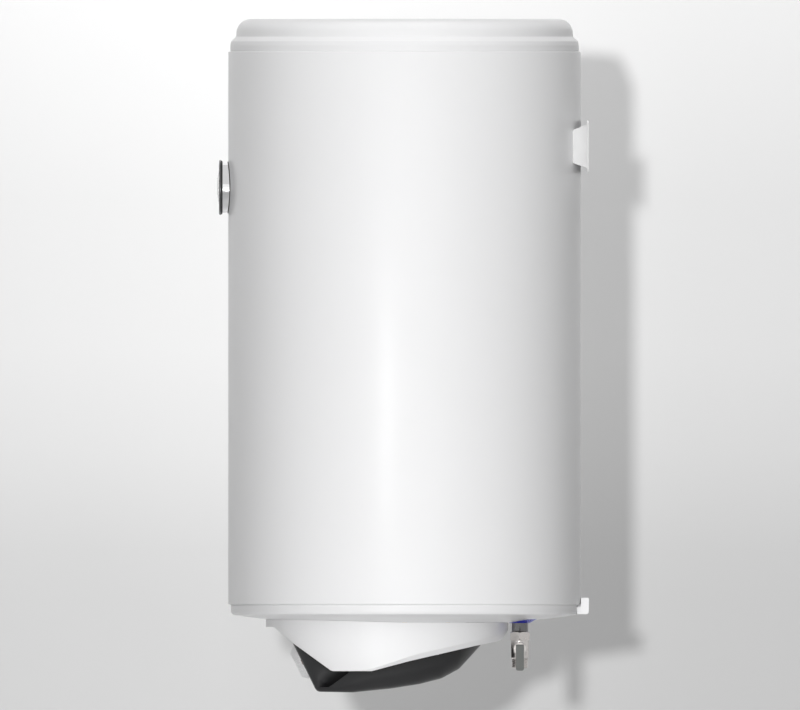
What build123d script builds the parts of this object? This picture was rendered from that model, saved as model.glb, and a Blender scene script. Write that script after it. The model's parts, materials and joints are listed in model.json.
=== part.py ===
"""Wall-hung electric tank water heater, about 80 litres, upright.

Millimetres. +Z is up, the front looks along -Y and the wall is the plane y = 0.
The origin is midway between the two wall bolts, on the wall. The tank stands on
its own vertical axis, in front of the wall.
"""

import math
import os

from build123d import *

os.makedirs("parts", exist_ok=True)

# ---------------------------------------------------------------- driving dimensions
SHELL_R = 220.0  # outer shell radius
WALL_GAP = 10.0  # shell to wall
AXIS_Y = -(SHELL_R + WALL_GAP)
SHELL_TOP = 118.5
SHELL_BOTTOM = -571.7
SHEET = 0.8  # casing sheet
PLASTIC = 2.5  # moulded wall
LID_TOP = 159.1
CAP_BOTTOM = -594.0
RING_R = 21.5  # coloured ring round each pipe
SPIGOT_R = 211.5  # lid and cap spigots, inside the shell's rolled rims
FLANGE_RIM_R = 212.0

TANK_R = 193.0  # inner tank, outside
TANK_WALL = 2.0
TANK_TOP = 70.0  # where the straight wall ends
TANK_BOTTOM = -505.0
DOME_H = 67.0
FOAM_GAP = 0.1

PIPE_R = 10.48  # G1/2 thread, outside
PIPE_BODY_R = 10.3  # pipe above its thread
THREAD_TOP = -597.5
PIPE_BORE_R = 8.0
PIPE_X = 50.0  # cold at +X, hot at -X
PIPE_Y = AXIS_Y + 144.0

BRACKET_HALF_H = 32.6
BRACKET_HALF_W = 98.0
BRACKET_SHEET = 2.0
BRACKET_CHEEK_X = 63.0
BOLT_SPACING = 160.0
BOLT_SLOT_R = 6.0
BOLT_SLOT_LENGTH = 20.0

COVER_R = 151.0  # service cover, plan radius
COVER_Y = AXIS_Y - 22.0  # service cover, plan centre
CAP_OPENING_R = 130.0
PILLAR_PITCH_X = 250.0  # service cover screw pillars
PILLAR_PITCH_Y = 116.0
CONTROL_Y = AXIS_Y - 28.0  # control cover, plan centre
CONTROL_HALF_W = 105.0
CONTROL_HALF_D = 123.0
CONTROL_TOP = -608.0

GAUGE_Z = -51.2  # thermometer height
GAUGE_R = 31.5

TANK_AXIS = Axis((0, AXIS_Y, 0), (0, 0, 1))
SECTION = Plane((0, AXIS_Y, 0), x_dir=(1, 0, 0), z_dir=(0, -1, 0))  # (radius, height)
SIDE = Plane((0, AXIS_Y, 0), x_dir=(0, 1, 0), z_dir=(1, 0, 0))  # (towards the wall, height)


def level(height, x=0.0, y=AXIS_Y):
    """Horizontal plane at a height, centred on a vertical axis."""
    return Plane((x, y, height), x_dir=(1, 0, 0), z_dir=(0, 0, 1))


def facing_front(reach):
    """Plane square to the thermometer's axis, a reach in front of the tank axis."""
    return Plane((0, AXIS_Y - reach, GAUGE_Z), x_dir=(1, 0, 0), z_dir=(0, -1, 0))


def save(builder, name):
    """Labels a finished sub-part and writes its STEP file."""
    builder.part.label = name
    export_step(builder.part, f"parts/{name}.step")


# ---------------------------------------------------------------- casing
with BuildPart() as outer_shell:
    with BuildSketch(SECTION):
        Polygon(
            (SHELL_R, SHELL_BOTTOM),
            (SHELL_R, SHELL_TOP),
            (FLANGE_RIM_R, SHELL_TOP),
            (FLANGE_RIM_R, SHELL_TOP - SHEET),
            (SHELL_R - SHEET, SHELL_TOP - SHEET),
            (SHELL_R - SHEET, SHELL_BOTTOM + SHEET),
            (FLANGE_RIM_R, SHELL_BOTTOM + SHEET),
            (FLANGE_RIM_R, SHELL_BOTTOM),
            align=None,
        )
    revolve(axis=TANK_AXIS)
    with BuildSketch(facing_front(SHELL_R - 30)):
        Circle(3.2)
    extrude(amount=40, mode=Mode.SUBTRACT)
save(outer_shell, "outer_shell")

LID_OUTLINE = (  # radius, height, corner radius
    (0, LID_TOP, 0),
    (209.2, LID_TOP, 18),
    (210.2, 137.0, 1),
    (216.4, 131.4, 3),
    (217.5, 126.0, 2),
    (217.5, 119.6, 0),
    (216.6, SHELL_TOP, 0),
    (SPIGOT_R, SHELL_TOP, 0),
    (SPIGOT_R, SHELL_TOP - 12, 0),
    (SPIGOT_R - PLASTIC, SHELL_TOP - 12, 0),
    (SPIGOT_R - PLASTIC, SHELL_TOP + PLASTIC, 0),
    (215.0, SHELL_TOP + PLASTIC, 0),
    (215.0, 126.0, 0),
    (213.9, 130.2, 0),
    (207.7, 135.6, 0),
    (206.7, LID_TOP - PLASTIC, 15),
    (0, LID_TOP - PLASTIC, 0),
)
with BuildPart() as top_lid:
    with BuildSketch(SECTION):
        with BuildLine():
            FilletPolyline(
                *[(r, z) for r, z, _ in LID_OUTLINE],
                radius=[corner for _, _, corner in LID_OUTLINE],
                close=True,
            )
        make_face()
    revolve(axis=TANK_AXIS)
save(top_lid, "top_lid")

CAP_UNDERSIDE = (  # radius, height of the dished underside, outside to inside
    (213.0, -584.6),
    (199.0, -586.9),
    (184.0, -588.6),
    (168.0, -590.6),
    (150.0, CAP_BOTTOM),
)
with BuildPart() as bottom_cap:
    with BuildSketch(SECTION):
        Polygon(
            (0, CAP_BOTTOM),
            *reversed(CAP_UNDERSIDE),
            (215.6, -583.4),
            (216.6, -581.0),
            (216.6, SHELL_BOTTOM - 1.8),
            (215.8, SHELL_BOTTOM),
            (SPIGOT_R, SHELL_BOTTOM),
            (SPIGOT_R, SHELL_BOTTOM + 9.2),
            (SPIGOT_R - PLASTIC, SHELL_BOTTOM + 9.2),
            (SPIGOT_R - PLASTIC, SHELL_BOTTOM - PLASTIC),
            (214.1, SHELL_BOTTOM - PLASTIC),
            (214.1, -580.4),
            *[(r - 0.6, z + PLASTIC) for r, z in CAP_UNDERSIDE],
            (0, CAP_BOTTOM + PLASTIC),
            align=None,
        )
    revolve(axis=TANK_AXIS)
    with BuildSketch(level(CAP_BOTTOM - 5, y=COVER_Y)):
        Circle(CAP_OPENING_R)
    extrude(amount=20, mode=Mode.SUBTRACT)
    with BuildSketch(level(CAP_BOTTOM - 5, y=COVER_Y)):
        with GridLocations(PILLAR_PITCH_X, PILLAR_PITCH_Y, 2, 2):
            Circle(1.5)
    extrude(amount=20, mode=Mode.SUBTRACT)
    for side in (1, -1):
        with BuildSketch(level(CAP_BOTTOM - 5, side * PIPE_X, PIPE_Y)):
            Circle(RING_R)
        extrude(amount=20, mode=Mode.SUBTRACT)
save(bottom_cap, "bottom_cap")

# ---------------------------------------------------------------- inner tank
with BuildPart() as tank_shell:
    with BuildSketch(level(TANK_BOTTOM)):
        Circle(TANK_R)
        Circle(TANK_R - TANK_WALL, mode=Mode.SUBTRACT)
    extrude(amount=TANK_TOP - TANK_BOTTOM)
save(tank_shell, "tank_shell")

CROWN_FLAT_R = 4.0  # small flat at the crown of the top dome
with BuildPart() as tank_top_dome:
    with BuildSketch(SECTION):
        with Locations((0, TANK_TOP)):
            Ellipse(TANK_R, DOME_H)
            Ellipse(TANK_R - TANK_WALL, DOME_H - TANK_WALL, mode=Mode.SUBTRACT)
        with Locations((TANK_R + CROWN_FLAT_R, TANK_TOP + DOME_H)):
            Rectangle(2 * TANK_R, 2 * DOME_H, mode=Mode.INTERSECT)
        with Locations((CROWN_FLAT_R / 2, TANK_TOP + DOME_H - TANK_WALL / 2 - 0.05)):
            Rectangle(CROWN_FLAT_R, TANK_WALL - 0.1)
    revolve(axis=TANK_AXIS)
save(tank_top_dome, "tank_top_dome")

COLLAR_R = 70.0  # welded flange collar
with BuildPart() as tank_bottom_dome:
    with BuildSketch(SECTION):
        with Locations((0, TANK_BOTTOM)):
            Ellipse(TANK_R, DOME_H)
            Ellipse(TANK_R - TANK_WALL, DOME_H - TANK_WALL, mode=Mode.SUBTRACT)
        with Locations((TANK_R + COLLAR_R, TANK_BOTTOM - DOME_H)):
            Rectangle(2 * TANK_R, 2 * DOME_H, mode=Mode.INTERSECT)
    revolve(axis=TANK_AXIS)
    for side in (1, -1):
        with BuildSketch(level(TANK_BOTTOM - DOME_H, side * PIPE_X, PIPE_Y)):
            Circle(PIPE_BODY_R)
        extrude(amount=DOME_H, mode=Mode.SUBTRACT)
save(tank_bottom_dome, "tank_bottom_dome")

with BuildPart() as insulation_foam:
    with BuildSketch(SECTION):
        Polygon(
            (0, SHELL_BOTTOM + 9.8),
            (SHELL_R - SHEET - FOAM_GAP, SHELL_BOTTOM + 9.8),
            (SHELL_R - SHEET - FOAM_GAP, SHELL_TOP - 13),
            (206.4, SHELL_TOP - 13),
            (206.4, 141.0),
            (190.0, LID_TOP - PLASTIC - 0.4),
            (0, LID_TOP - PLASTIC - 0.4),
            align=None,
        )
    revolve(axis=TANK_AXIS)
    with BuildSketch(level(TANK_BOTTOM)):
        Circle(TANK_R + FOAM_GAP)
    extrude(amount=TANK_TOP - TANK_BOTTOM, mode=Mode.SUBTRACT)
    for end in (TANK_TOP, TANK_BOTTOM):
        with BuildSketch(SECTION):
            with Locations((0, end)):
                Ellipse(TANK_R + FOAM_GAP, DOME_H + FOAM_GAP)
            with Locations((TANK_R, end)):
                Rectangle(2 * TANK_R, 3 * DOME_H, mode=Mode.INTERSECT)
        revolve(axis=TANK_AXIS, mode=Mode.SUBTRACT)
    for side in (1, -1):
        with BuildSketch(level(SHELL_BOTTOM, side * PIPE_X, PIPE_Y)):
            Circle(PIPE_BODY_R + FOAM_GAP)
        extrude(amount=DOME_H, mode=Mode.SUBTRACT)
    with BuildSketch(facing_front(TANK_R - 10)):
        Circle(3.2)
    extrude(amount=50, mode=Mode.SUBTRACT)
save(insulation_foam, "insulation_foam")

# ---------------------------------------------------------------- wall fixings
with BuildPart() as wall_bracket:
    with BuildSketch(Plane.XZ):
        RectangleRounded(2 * BRACKET_HALF_W, 2 * BRACKET_HALF_H, 5)
        with Locations((BOLT_SPACING / 2, 0), (-BOLT_SPACING / 2, 0)):
            SlotOverall(BOLT_SLOT_LENGTH, 2 * BOLT_SLOT_R, mode=Mode.SUBTRACT)
    extrude(amount=BRACKET_SHEET)
    for cheek_x in (BRACKET_CHEEK_X, -BRACKET_CHEEK_X - BRACKET_SHEET):
        with BuildSketch(Plane((cheek_x, 0, 0), x_dir=(0, 1, 0), z_dir=(1, 0, 0))):
            with BuildLine():
                FilletPolyline(
                    (-0.5, 27.3),
                    (-9.5, 24.6),
                    (-21.5, 20.0),
                    (-21.5, -20.0),
                    (-9.5, -24.6),
                    (-0.5, -27.3),
                    radius=[0, 12, 5, 5, 12, 0],
                    close=True,
                )
            make_face()
        extrude(amount=BRACKET_SHEET)
    with BuildSketch(level(-60)):
        Circle(SHELL_R)
    extrude(amount=120, mode=Mode.SUBTRACT)
save(wall_bracket, "wall_bracket")

SPACER_HALF_W = 25.0
with BuildPart() as lower_spacer:
    with BuildSketch(Plane((-SPACER_HALF_W, 0, 0), x_dir=(0, 1, 0), z_dir=(1, 0, 0))):
        with BuildLine():
            FilletPolyline(
                (0, -563.2),
                (-9.9, -563.2),
                (-9.9, -574.3),
                (-14.6, -574.3),
                (-14.6, -583.7),
                (0, -583.7),
                radius=[2, 2, 0, 0.6, 1.5, 3],
                close=True,
            )
        make_face()
    extrude(amount=2 * SPACER_HALF_W)
    with BuildSketch(level(SHELL_BOTTOM)):
        Circle(SHELL_R)
    extrude(amount=20, mode=Mode.SUBTRACT)
    with BuildSketch(level(-590)):
        Circle(216.6)
    extrude(amount=590 + SHELL_BOTTOM, mode=Mode.SUBTRACT)
save(lower_spacer, "lower_spacer")

# ---------------------------------------------------------------- water pipes
HOT_TOP = 95.0
COLD_TOP = -528.0
for name, x, low, high in (
    ("cold_inlet_pipe", PIPE_X, -616.3, COLD_TOP),
    ("hot_outlet_pipe", -PIPE_X, -613.0, HOT_TOP),
):
    with BuildPart() as pipe:
        with BuildSketch(level(low, x, PIPE_Y)):
            Circle(PIPE_R)
        extrude(amount=THREAD_TOP - low)
        with BuildSketch(level(THREAD_TOP, x, PIPE_Y)):
            Circle(PIPE_BODY_R)
        extrude(amount=high - THREAD_TOP)
        with BuildSketch(level(low, x, PIPE_Y)):
            Circle(PIPE_BORE_R)
        extrude(amount=high - low, mode=Mode.SUBTRACT)
    save(pipe, name)

with BuildPart() as inlet_diffuser:
    with BuildSketch(level(COLD_TOP, PIPE_X, PIPE_Y)):
        Circle(16)
    extrude(amount=8)
    with BuildSketch(level(COLD_TOP, PIPE_X, PIPE_Y)):
        Circle(PIPE_BORE_R)
    extrude(amount=6, mode=Mode.SUBTRACT)
    with BuildSketch(level(COLD_TOP + 2, PIPE_X, PIPE_Y)):
        with PolarLocations(0, 4):
            Rectangle(40, 5)
    extrude(amount=4, mode=Mode.SUBTRACT)
save(inlet_diffuser, "inlet_diffuser")

RING_FOOT_R, RING_FOOT = 12.5, CAP_BOTTOM - 0.8  # small end of the ring's cone
for name, x in (("cold_ring", PIPE_X), ("hot_ring", -PIPE_X)):
    with BuildPart() as ring:
        with BuildSketch(level(CAP_BOTTOM - 4, x, PIPE_Y)):
            Circle(RING_R)
            Circle(PIPE_R + 0.1, mode=Mode.SUBTRACT)
        extrude(amount=20)
        with BuildSketch(SECTION):
            Polygon(
                *CAP_UNDERSIDE,
                (120, CAP_BOTTOM),
                (120, CAP_BOTTOM + PLASTIC),
                (150, CAP_BOTTOM + PLASTIC),
                (213, -582.0),
                align=None,
            )
        revolve(axis=TANK_AXIS, mode=Mode.INTERSECT)
        with BuildSketch(Plane.XZ.offset(-PIPE_Y)):
            with Locations((x, 0)):
                Polygon(
                    (PIPE_R + 0.1, RING_FOOT),
                    (RING_FOOT_R, RING_FOOT),
                    (RING_R - 0.1, -589.4),
                    (RING_R - 0.1, -588.9),
                    (PIPE_R + 0.1, -588.9),
                    align=None,
                )
        revolve(axis=Axis((x, PIPE_Y, 0), (0, 0, 1)))
    save(ring, name)

# ---------------------------------------------------------------- flange and what it carries
COLLAR_BORE_R = 45.0
COLLAR_TOP = -563.0
COLLAR_FACE = -575.0
GASKET = 2.5
PLATE = 4.0
PLATE_TOP = COLLAR_FACE - GASKET
PLATE_FACE = PLATE_TOP - PLATE
FLANGE_BOLT_PCR = 60.0
BOLT_COUNT = 5
M8_R = 4.0
ELEMENT_R = 4.0
ELEMENT_X = 20.0
ANODE_Y = AXIS_Y + 28.0
POCKET_Y = AXIS_Y - 26.0
POCKET_R = 6.0
POCKET_BORE_R = 5.0
EARTH_Y = AXIS_Y + 54.0

with BuildPart() as flange_collar:
    with BuildSketch(level(COLLAR_FACE)):
        Circle(COLLAR_R)
        Circle(COLLAR_BORE_R, mode=Mode.SUBTRACT)
        with PolarLocations(FLANGE_BOLT_PCR, BOLT_COUNT, start_angle=54):
            Circle(M8_R, mode=Mode.SUBTRACT)
    extrude(amount=COLLAR_TOP - COLLAR_FACE)
save(flange_collar, "flange_collar")

with BuildPart() as flange_gasket:
    with BuildSketch(level(PLATE_TOP)):
        Circle(54)
        Circle(COLLAR_BORE_R, mode=Mode.SUBTRACT)
    extrude(amount=GASKET)
save(flange_gasket, "flange_gasket")

with BuildPart() as flange_plate:
    with BuildSketch(level(PLATE_FACE)):
        Circle(69)
        with PolarLocations(FLANGE_BOLT_PCR, BOLT_COUNT, start_angle=54):
            Circle(M8_R, mode=Mode.SUBTRACT)
        with Locations((ELEMENT_X, 0), (-ELEMENT_X, 0)):
            Circle(ELEMENT_R, mode=Mode.SUBTRACT)
        with Locations((0, ANODE_Y - AXIS_Y)):
            Circle(M8_R, mode=Mode.SUBTRACT)
        with Locations((0, POCKET_Y - AXIS_Y)):
            Circle(POCKET_R, mode=Mode.SUBTRACT)
        with Locations((0, EARTH_Y - AXIS_Y)):
            Circle(3, mode=Mode.SUBTRACT)
    extrude(amount=PLATE)
save(flange_plate, "flange_plate")

with BuildPart() as flange_bolts:
    with BuildSketch(level(PLATE_FACE)):
        with PolarLocations(FLANGE_BOLT_PCR, BOLT_COUNT, start_angle=54):
            Circle(M8_R)
    extrude(amount=COLLAR_TOP - 1 - PLATE_FACE)
    with BuildSketch(level(PLATE_FACE - 5.3)):
        with PolarLocations(FLANGE_BOLT_PCR, BOLT_COUNT, start_angle=54):
            RegularPolygon(6.5, 6, major_radius=False)
    extrude(amount=5.3)
save(flange_bolts, "flange_bolts")

ELEMENT_TOP = -300.0
ELEMENT_END = PLATE_FACE - 8
with BuildPart() as heating_element:
    with BuildLine(Plane((0, AXIS_Y, 0), x_dir=(1, 0, 0), z_dir=(0, -1, 0))) as hairpin:
        Line((-ELEMENT_X, ELEMENT_END), (-ELEMENT_X, ELEMENT_TOP))
        ThreePointArc((-ELEMENT_X, ELEMENT_TOP), (0, ELEMENT_TOP + ELEMENT_X), (ELEMENT_X, ELEMENT_TOP))
        Line((ELEMENT_X, ELEMENT_TOP), (ELEMENT_X, ELEMENT_END))
    with BuildSketch(level(ELEMENT_END, -ELEMENT_X)):
        Circle(ELEMENT_R)
    sweep(path=hairpin.line)
save(heating_element, "heating_element")

with BuildPart() as element_terminals:
    with BuildSketch(level(ELEMENT_END - 12)):
        with Locations((ELEMENT_X, 0), (-ELEMENT_X, 0)):
            Rectangle(0.8, 6.3)
    extrude(amount=12)
save(element_terminals, "element_terminals")

ANODE_TOP = -270.0
with BuildPart() as anode_rod:
    with BuildSketch(level(PLATE_TOP + 6, y=ANODE_Y)):
        Circle(10.5)
    extrude(amount=ANODE_TOP - PLATE_TOP - 6)
    with BuildSketch(level(PLATE_FACE - 14, y=ANODE_Y)):
        Circle(M8_R)
    extrude(amount=20 + PLATE)
save(anode_rod, "anode_rod")

with BuildPart() as anode_nut:
    with BuildSketch(level(PLATE_FACE - 6.5, y=ANODE_Y)):
        RegularPolygon(6.5, 6, major_radius=False)
        Circle(M8_R, mode=Mode.SUBTRACT)
    extrude(amount=6.5)
save(anode_nut, "anode_nut")

POCKET_TOP = -340.0
with BuildPart() as sensor_pocket:
    with BuildSketch(level(PLATE_FACE - 2, y=POCKET_Y)):
        Circle(POCKET_R)
    extrude(amount=POCKET_TOP - PLATE_FACE + 2)
    with BuildSketch(level(PLATE_FACE - 2, y=POCKET_Y)):
        Circle(POCKET_BORE_R)
    extrude(amount=POCKET_TOP - PLATE_FACE, mode=Mode.SUBTRACT)
save(sensor_pocket, "sensor_pocket")

BRACKET_FACE = PLATE_FACE - 1.5
with BuildPart() as electrics_bracket:
    with BuildSketch(level(BRACKET_FACE)):
        with Locations((0, 56)):
            Rectangle(44, 32)
        with Locations((0, 88)):
            Rectangle(92, 32)
        with Locations((0, EARTH_Y - AXIS_Y)):
            Circle(3, mode=Mode.SUBTRACT)
    extrude(amount=1.5)
save(electrics_bracket, "electrics_bracket")

with BuildPart() as earth_stud:
    with BuildSketch(level(PLATE_TOP - PLATE - 16, y=EARTH_Y)):
        Circle(3)
    extrude(amount=16 + PLATE)
    with BuildSketch(level(BRACKET_FACE - 5, y=EARTH_Y)):
        RegularPolygon(5, 6, major_radius=False)
    extrude(amount=5)
save(earth_stud, "earth_stud")

# ---------------------------------------------------------------- electrics
BLOCK_X = -24.0
BLOCK_Y = AXIS_Y + 88.0
BLOCK_H = 18.0
POLE_PITCH = 12.0
with BuildPart() as terminal_block:
    with BuildSketch(level(BRACKET_FACE - BLOCK_H, BLOCK_X, BLOCK_Y)):
        Rectangle(38, 24)
    extrude(amount=BLOCK_H)
    with BuildSketch(level(BRACKET_FACE - BLOCK_H, BLOCK_X, BLOCK_Y)):
        with GridLocations(POLE_PITCH, 12, 3, 2):
            Circle(2.6)
    extrude(amount=8, mode=Mode.SUBTRACT)
save(terminal_block, "terminal_block")

with BuildPart() as terminal_screws:
    with BuildSketch(level(BRACKET_FACE - BLOCK_H + 1, BLOCK_X, BLOCK_Y)):
        with GridLocations(POLE_PITCH, 12, 3, 2):
            Circle(2.4)
    extrude(amount=7)
    with BuildSketch(level(BRACKET_FACE - BLOCK_H + 1, BLOCK_X, BLOCK_Y)):
        with GridLocations(POLE_PITCH, 12, 3, 2):
            Rectangle(3.6, 0.8)
    extrude(amount=1, mode=Mode.SUBTRACT)
save(terminal_screws, "terminal_screws")

CUTOUT_X = 26.0
CUTOUT_Y = AXIS_Y + 88.0
CUTOUT_H = 16.0
BUTTON_R = 3.0
BUTTON_RUN = 0.05  # running clearance
with BuildPart() as thermal_cutout:
    with BuildSketch(level(BRACKET_FACE - CUTOUT_H, CUTOUT_X, CUTOUT_Y)):
        RectangleRounded(30, 22, 3)
    extrude(amount=CUTOUT_H)
    with BuildSketch(level(BRACKET_FACE - CUTOUT_H - 3, CUTOUT_X, CUTOUT_Y)):
        Circle(5.5)
    extrude(amount=3)
    with BuildSketch(level(BRACKET_FACE - CUTOUT_H - 3, CUTOUT_X, CUTOUT_Y)):
        Circle(BUTTON_R + BUTTON_RUN)
    extrude(amount=12, mode=Mode.SUBTRACT)
save(thermal_cutout, "thermal_cutout")

with BuildPart() as reset_button:
    with BuildSketch(level(BRACKET_FACE - CUTOUT_H - 5.5, CUTOUT_X, CUTOUT_Y)):
        Circle(BUTTON_R)
    extrude(amount=12)
    chamfer(reset_button.edges().group_by(Axis.Z)[0], 0.6)
save(reset_button, "reset_button")

# ---------------------------------------------------------------- covers under the tank
SERVICE_PROFILE = (  # (towards the wall from the tank axis, height, corner radius)
    (-176, CAP_BOTTOM, 0),
    (-173.6, -599.6, 1.5),
    (-163, -599.8, 0),
    (-138.9, -620.2, 0),
    (-91.0, -654.9, 9),
    (-41, -654.9, 0),
    (6.7, -642.2, 0),
    (90, -623.0, 0),
    (118, -616.0, 14),
    (129.6, CAP_BOTTOM, 0),
)
with BuildPart() as service_cover:
    with BuildSketch(level(-660, y=COVER_Y)):
        Circle(COVER_R)
    extrude(amount=660 + CAP_BOTTOM)
    with BuildSketch(Plane((-COVER_R, AXIS_Y, 0), x_dir=(0, 1, 0), z_dir=(1, 0, 0))):
        with BuildLine():
            FilletPolyline(
                *[(y, z) for y, z, _ in SERVICE_PROFILE],
                radius=[corner for _, _, corner in SERVICE_PROFILE],
                close=True,
            )
        make_face()
    extrude(amount=2 * COVER_R, mode=Mode.INTERSECT)
    with BuildSketch(Plane((-COVER_R, AXIS_Y, 0), x_dir=(0, 1, 0), z_dir=(1, 0, 0))):
        Polygon(
            (-171, CAP_BOTTOM),
            (-171, -597.0),
            (-162, -597.0),
            (-137.8, -617.4),
            (-92, -652.4),
            (-41.5, -652.4),
            (6.2, -639.7),
            (89.4, -620.5),
            (115, -613.8),
            (122, -607.0),
            (127.0, CAP_BOTTOM),
            align=None,
        )
    hollow = extrude(amount=2 * COVER_R, mode=Mode.PRIVATE)
    with BuildSketch(level(-660, y=COVER_Y)):
        Circle(COVER_R - PLASTIC)
    room = extrude(amount=660 + CAP_BOTTOM, mode=Mode.PRIVATE)
    add(hollow & room, mode=Mode.SUBTRACT)
    with BuildSketch(level(-660, y=COVER_Y)):
        with GridLocations(PILLAR_PITCH_X, PILLAR_PITCH_Y, 2, 2):
            Circle(6.5)
    pillars = extrude(amount=660 + CAP_BOTTOM, mode=Mode.PRIVATE)
    add(pillars & hollow)
    with BuildSketch(level(-662, y=COVER_Y)):
        with GridLocations(PILLAR_PITCH_X, PILLAR_PITCH_Y, 2, 2):
            Circle(4.3)
    extrude(amount=662 + CAP_BOTTOM - 3, mode=Mode.SUBTRACT)
    with BuildSketch(level(-662, y=COVER_Y)):
        with GridLocations(PILLAR_PITCH_X, PILLAR_PITCH_Y, 2, 2):
            Circle(2.0)
    extrude(amount=662 + CAP_BOTTOM, mode=Mode.SUBTRACT)
    with BuildSketch(level(-660, y=CONTROL_Y)):
        Ellipse(CONTROL_HALF_W + 0.6, CONTROL_HALF_D + 0.6)
    extrude(amount=660 + CAP_BOTTOM, mode=Mode.SUBTRACT)
    with BuildSketch(Plane((-COVER_R - 1, COVER_Y, -614), x_dir=(0, 1, 0), z_dir=(1, 0, 0))):
        Circle(8.0)
    extrude(amount=8, mode=Mode.SUBTRACT)
save(service_cover, "service_cover")

with BuildPart() as service_cover_screws:
    with BuildSketch(level(CAP_BOTTOM - 5.5, y=COVER_Y)):
        with GridLocations(PILLAR_PITCH_X, PILLAR_PITCH_Y, 2, 2):
            Circle(3.8)
    extrude(amount=2.5)
    with BuildSketch(level(CAP_BOTTOM - 3, y=COVER_Y)):
        with GridLocations(PILLAR_PITCH_X, PILLAR_PITCH_Y, 2, 2):
            Circle(1.5)
    extrude(amount=12)
    with BuildSketch(level(CAP_BOTTOM - 5.5, y=COVER_Y)):
        with GridLocations(PILLAR_PITCH_X, PILLAR_PITCH_Y, 2, 2):
            Rectangle(4.4, 1.0)
            Rectangle(1.0, 4.4)
    extrude(amount=1.4, mode=Mode.SUBTRACT)
save(service_cover_screws, "service_cover_screws")

# the fascia leans 26.2 degrees; its top corner and its lower end, from the tank axis
FASCIA_TOP = Vector(0, AXIS_Y - 145.3, CONTROL_TOP)
FASCIA_DOWN = Vector(0, 0.442, -0.897)
FASCIA_OUT = Vector(0, -0.897, -0.442)
KNOB_DROP = 39.7  # from the fascia's top corner to the knob's axis, along the fascia
KNOB_POINT = FASCIA_TOP + FASCIA_DOWN * KNOB_DROP
CONTROL_PROFILE = (
    (-145.3, CONTROL_TOP, 0),
    (-109.7, -680.6, 7.5),
    (-64, -681.4, 0),
    (-18, -676.7, 0),
    (19, -670.9, 0),
    (46, -664.0, 0),
    (68, -652.0, 0),
    (94.6, -623.0, 0),
    (94.6, CONTROL_TOP, 0),
)
CONTROL_HOLLOW = (
    (-142.5, CONTROL_TOP, 0),
    (-108.6, -678.1, 6),
    (-64, -678.9, 0),
    (-18, -674.2, 0),
    (18.6, -668.4, 0),
    (44.8, -661.6, 0),
    (66, -650.0, 0),
    (91.0, -622.0, 0),
    (91.0, CONTROL_TOP, 0),
)


def fascia(height, across=0.0, down=0.0):
    """Plane parallel to the fascia, a height in front of it, at the knob's axis or shifted."""
    origin = KNOB_POINT + FASCIA_OUT * height + FASCIA_DOWN * down + Vector(across, 0, 0)
    return Plane(origin, x_dir=(1, 0, 0), z_dir=FASCIA_OUT)


SPINDLE_R = 3.0
LENS_ACROSS = 33.0
LENS_R = 3.5
with BuildPart() as control_cover:
    with BuildSketch(level(-690, y=CONTROL_Y)):
        Ellipse(CONTROL_HALF_W, CONTROL_HALF_D)
    extrude(amount=690 + CONTROL_TOP)
    with BuildSketch(Plane((-CONTROL_HALF_W, AXIS_Y, 0), x_dir=(0, 1, 0), z_dir=(1, 0, 0))):
        with BuildLine():
            FilletPolyline(
                *[(y, z) for y, z, _ in CONTROL_PROFILE],
                radius=[corner for _, _, corner in CONTROL_PROFILE],
                close=True,
            )
        make_face()
    extrude(amount=2 * CONTROL_HALF_W, mode=Mode.INTERSECT)
    with BuildSketch(Plane((-CONTROL_HALF_W, AXIS_Y, 0), x_dir=(0, 1, 0), z_dir=(1, 0, 0))):
        with BuildLine():
            FilletPolyline(
                *[(y, z) for y, z, _ in CONTROL_HOLLOW],
                radius=[corner for _, _, corner in CONTROL_HOLLOW],
                close=True,
            )
        make_face()
    hollow = extrude(amount=2 * CONTROL_HALF_W, mode=Mode.PRIVATE)
    with BuildSketch(level(-690, y=CONTROL_Y)):
        Ellipse(CONTROL_HALF_W - PLASTIC, CONTROL_HALF_D - PLASTIC)
    room = extrude(amount=690 + CONTROL_TOP, mode=Mode.PRIVATE)
    add(hollow & room, mode=Mode.SUBTRACT)
    with BuildSketch(fascia(-6)):
        Circle(SPINDLE_R + 1)
    extrude(amount=12, mode=Mode.SUBTRACT)
    with BuildSketch(fascia(-6, across=LENS_ACROSS)):
        Circle(LENS_R)
    extrude(amount=12, mode=Mode.SUBTRACT)
save(control_cover, "control_cover")

# ---------------------------------------------------------------- thermostat and its knob
KNOB_BASE_R = 21.35
KNOB_FACE_R = 16.4
KNOB_BASE = 2.7
KNOB_TOP = 8.5
KNOB_GAP = 0.5
BODY_FRONT = -3.5
KNOB_SOCKET = 6.0
KNOB_SECTION = Plane(KNOB_POINT, x_dir=(1, 0, 0), z_dir=FASCIA_DOWN)  # (radius, height on the fascia)
with BuildPart() as thermostat_knob:
    with BuildSketch(KNOB_SECTION):
        Polygon(
            (0, KNOB_GAP + KNOB_SOCKET),
            (SPINDLE_R, KNOB_GAP + KNOB_SOCKET),
            (SPINDLE_R, KNOB_GAP),
            (KNOB_BASE_R, KNOB_GAP),
            (KNOB_BASE_R, KNOB_BASE),
            (KNOB_FACE_R, KNOB_TOP),
            (0, KNOB_TOP),
            align=None,
        )
    revolve(axis=Axis(tuple(KNOB_POINT), tuple(FASCIA_OUT)))
    with BuildSketch(fascia(KNOB_GAP - 1)):
        with PolarLocations(KNOB_BASE_R + 0.9, 24):
            Circle(1.6)
    extrude(amount=KNOB_TOP, mode=Mode.SUBTRACT)
save(thermostat_knob, "thermostat_knob")

with BuildPart() as thermostat_spindle:
    with BuildSketch(fascia(KNOB_GAP + KNOB_SOCKET)):
        Circle(SPINDLE_R)
    extrude(amount=-(KNOB_GAP + KNOB_SOCKET - BODY_FRONT + 12))
save(thermostat_spindle, "thermostat_spindle")

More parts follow.
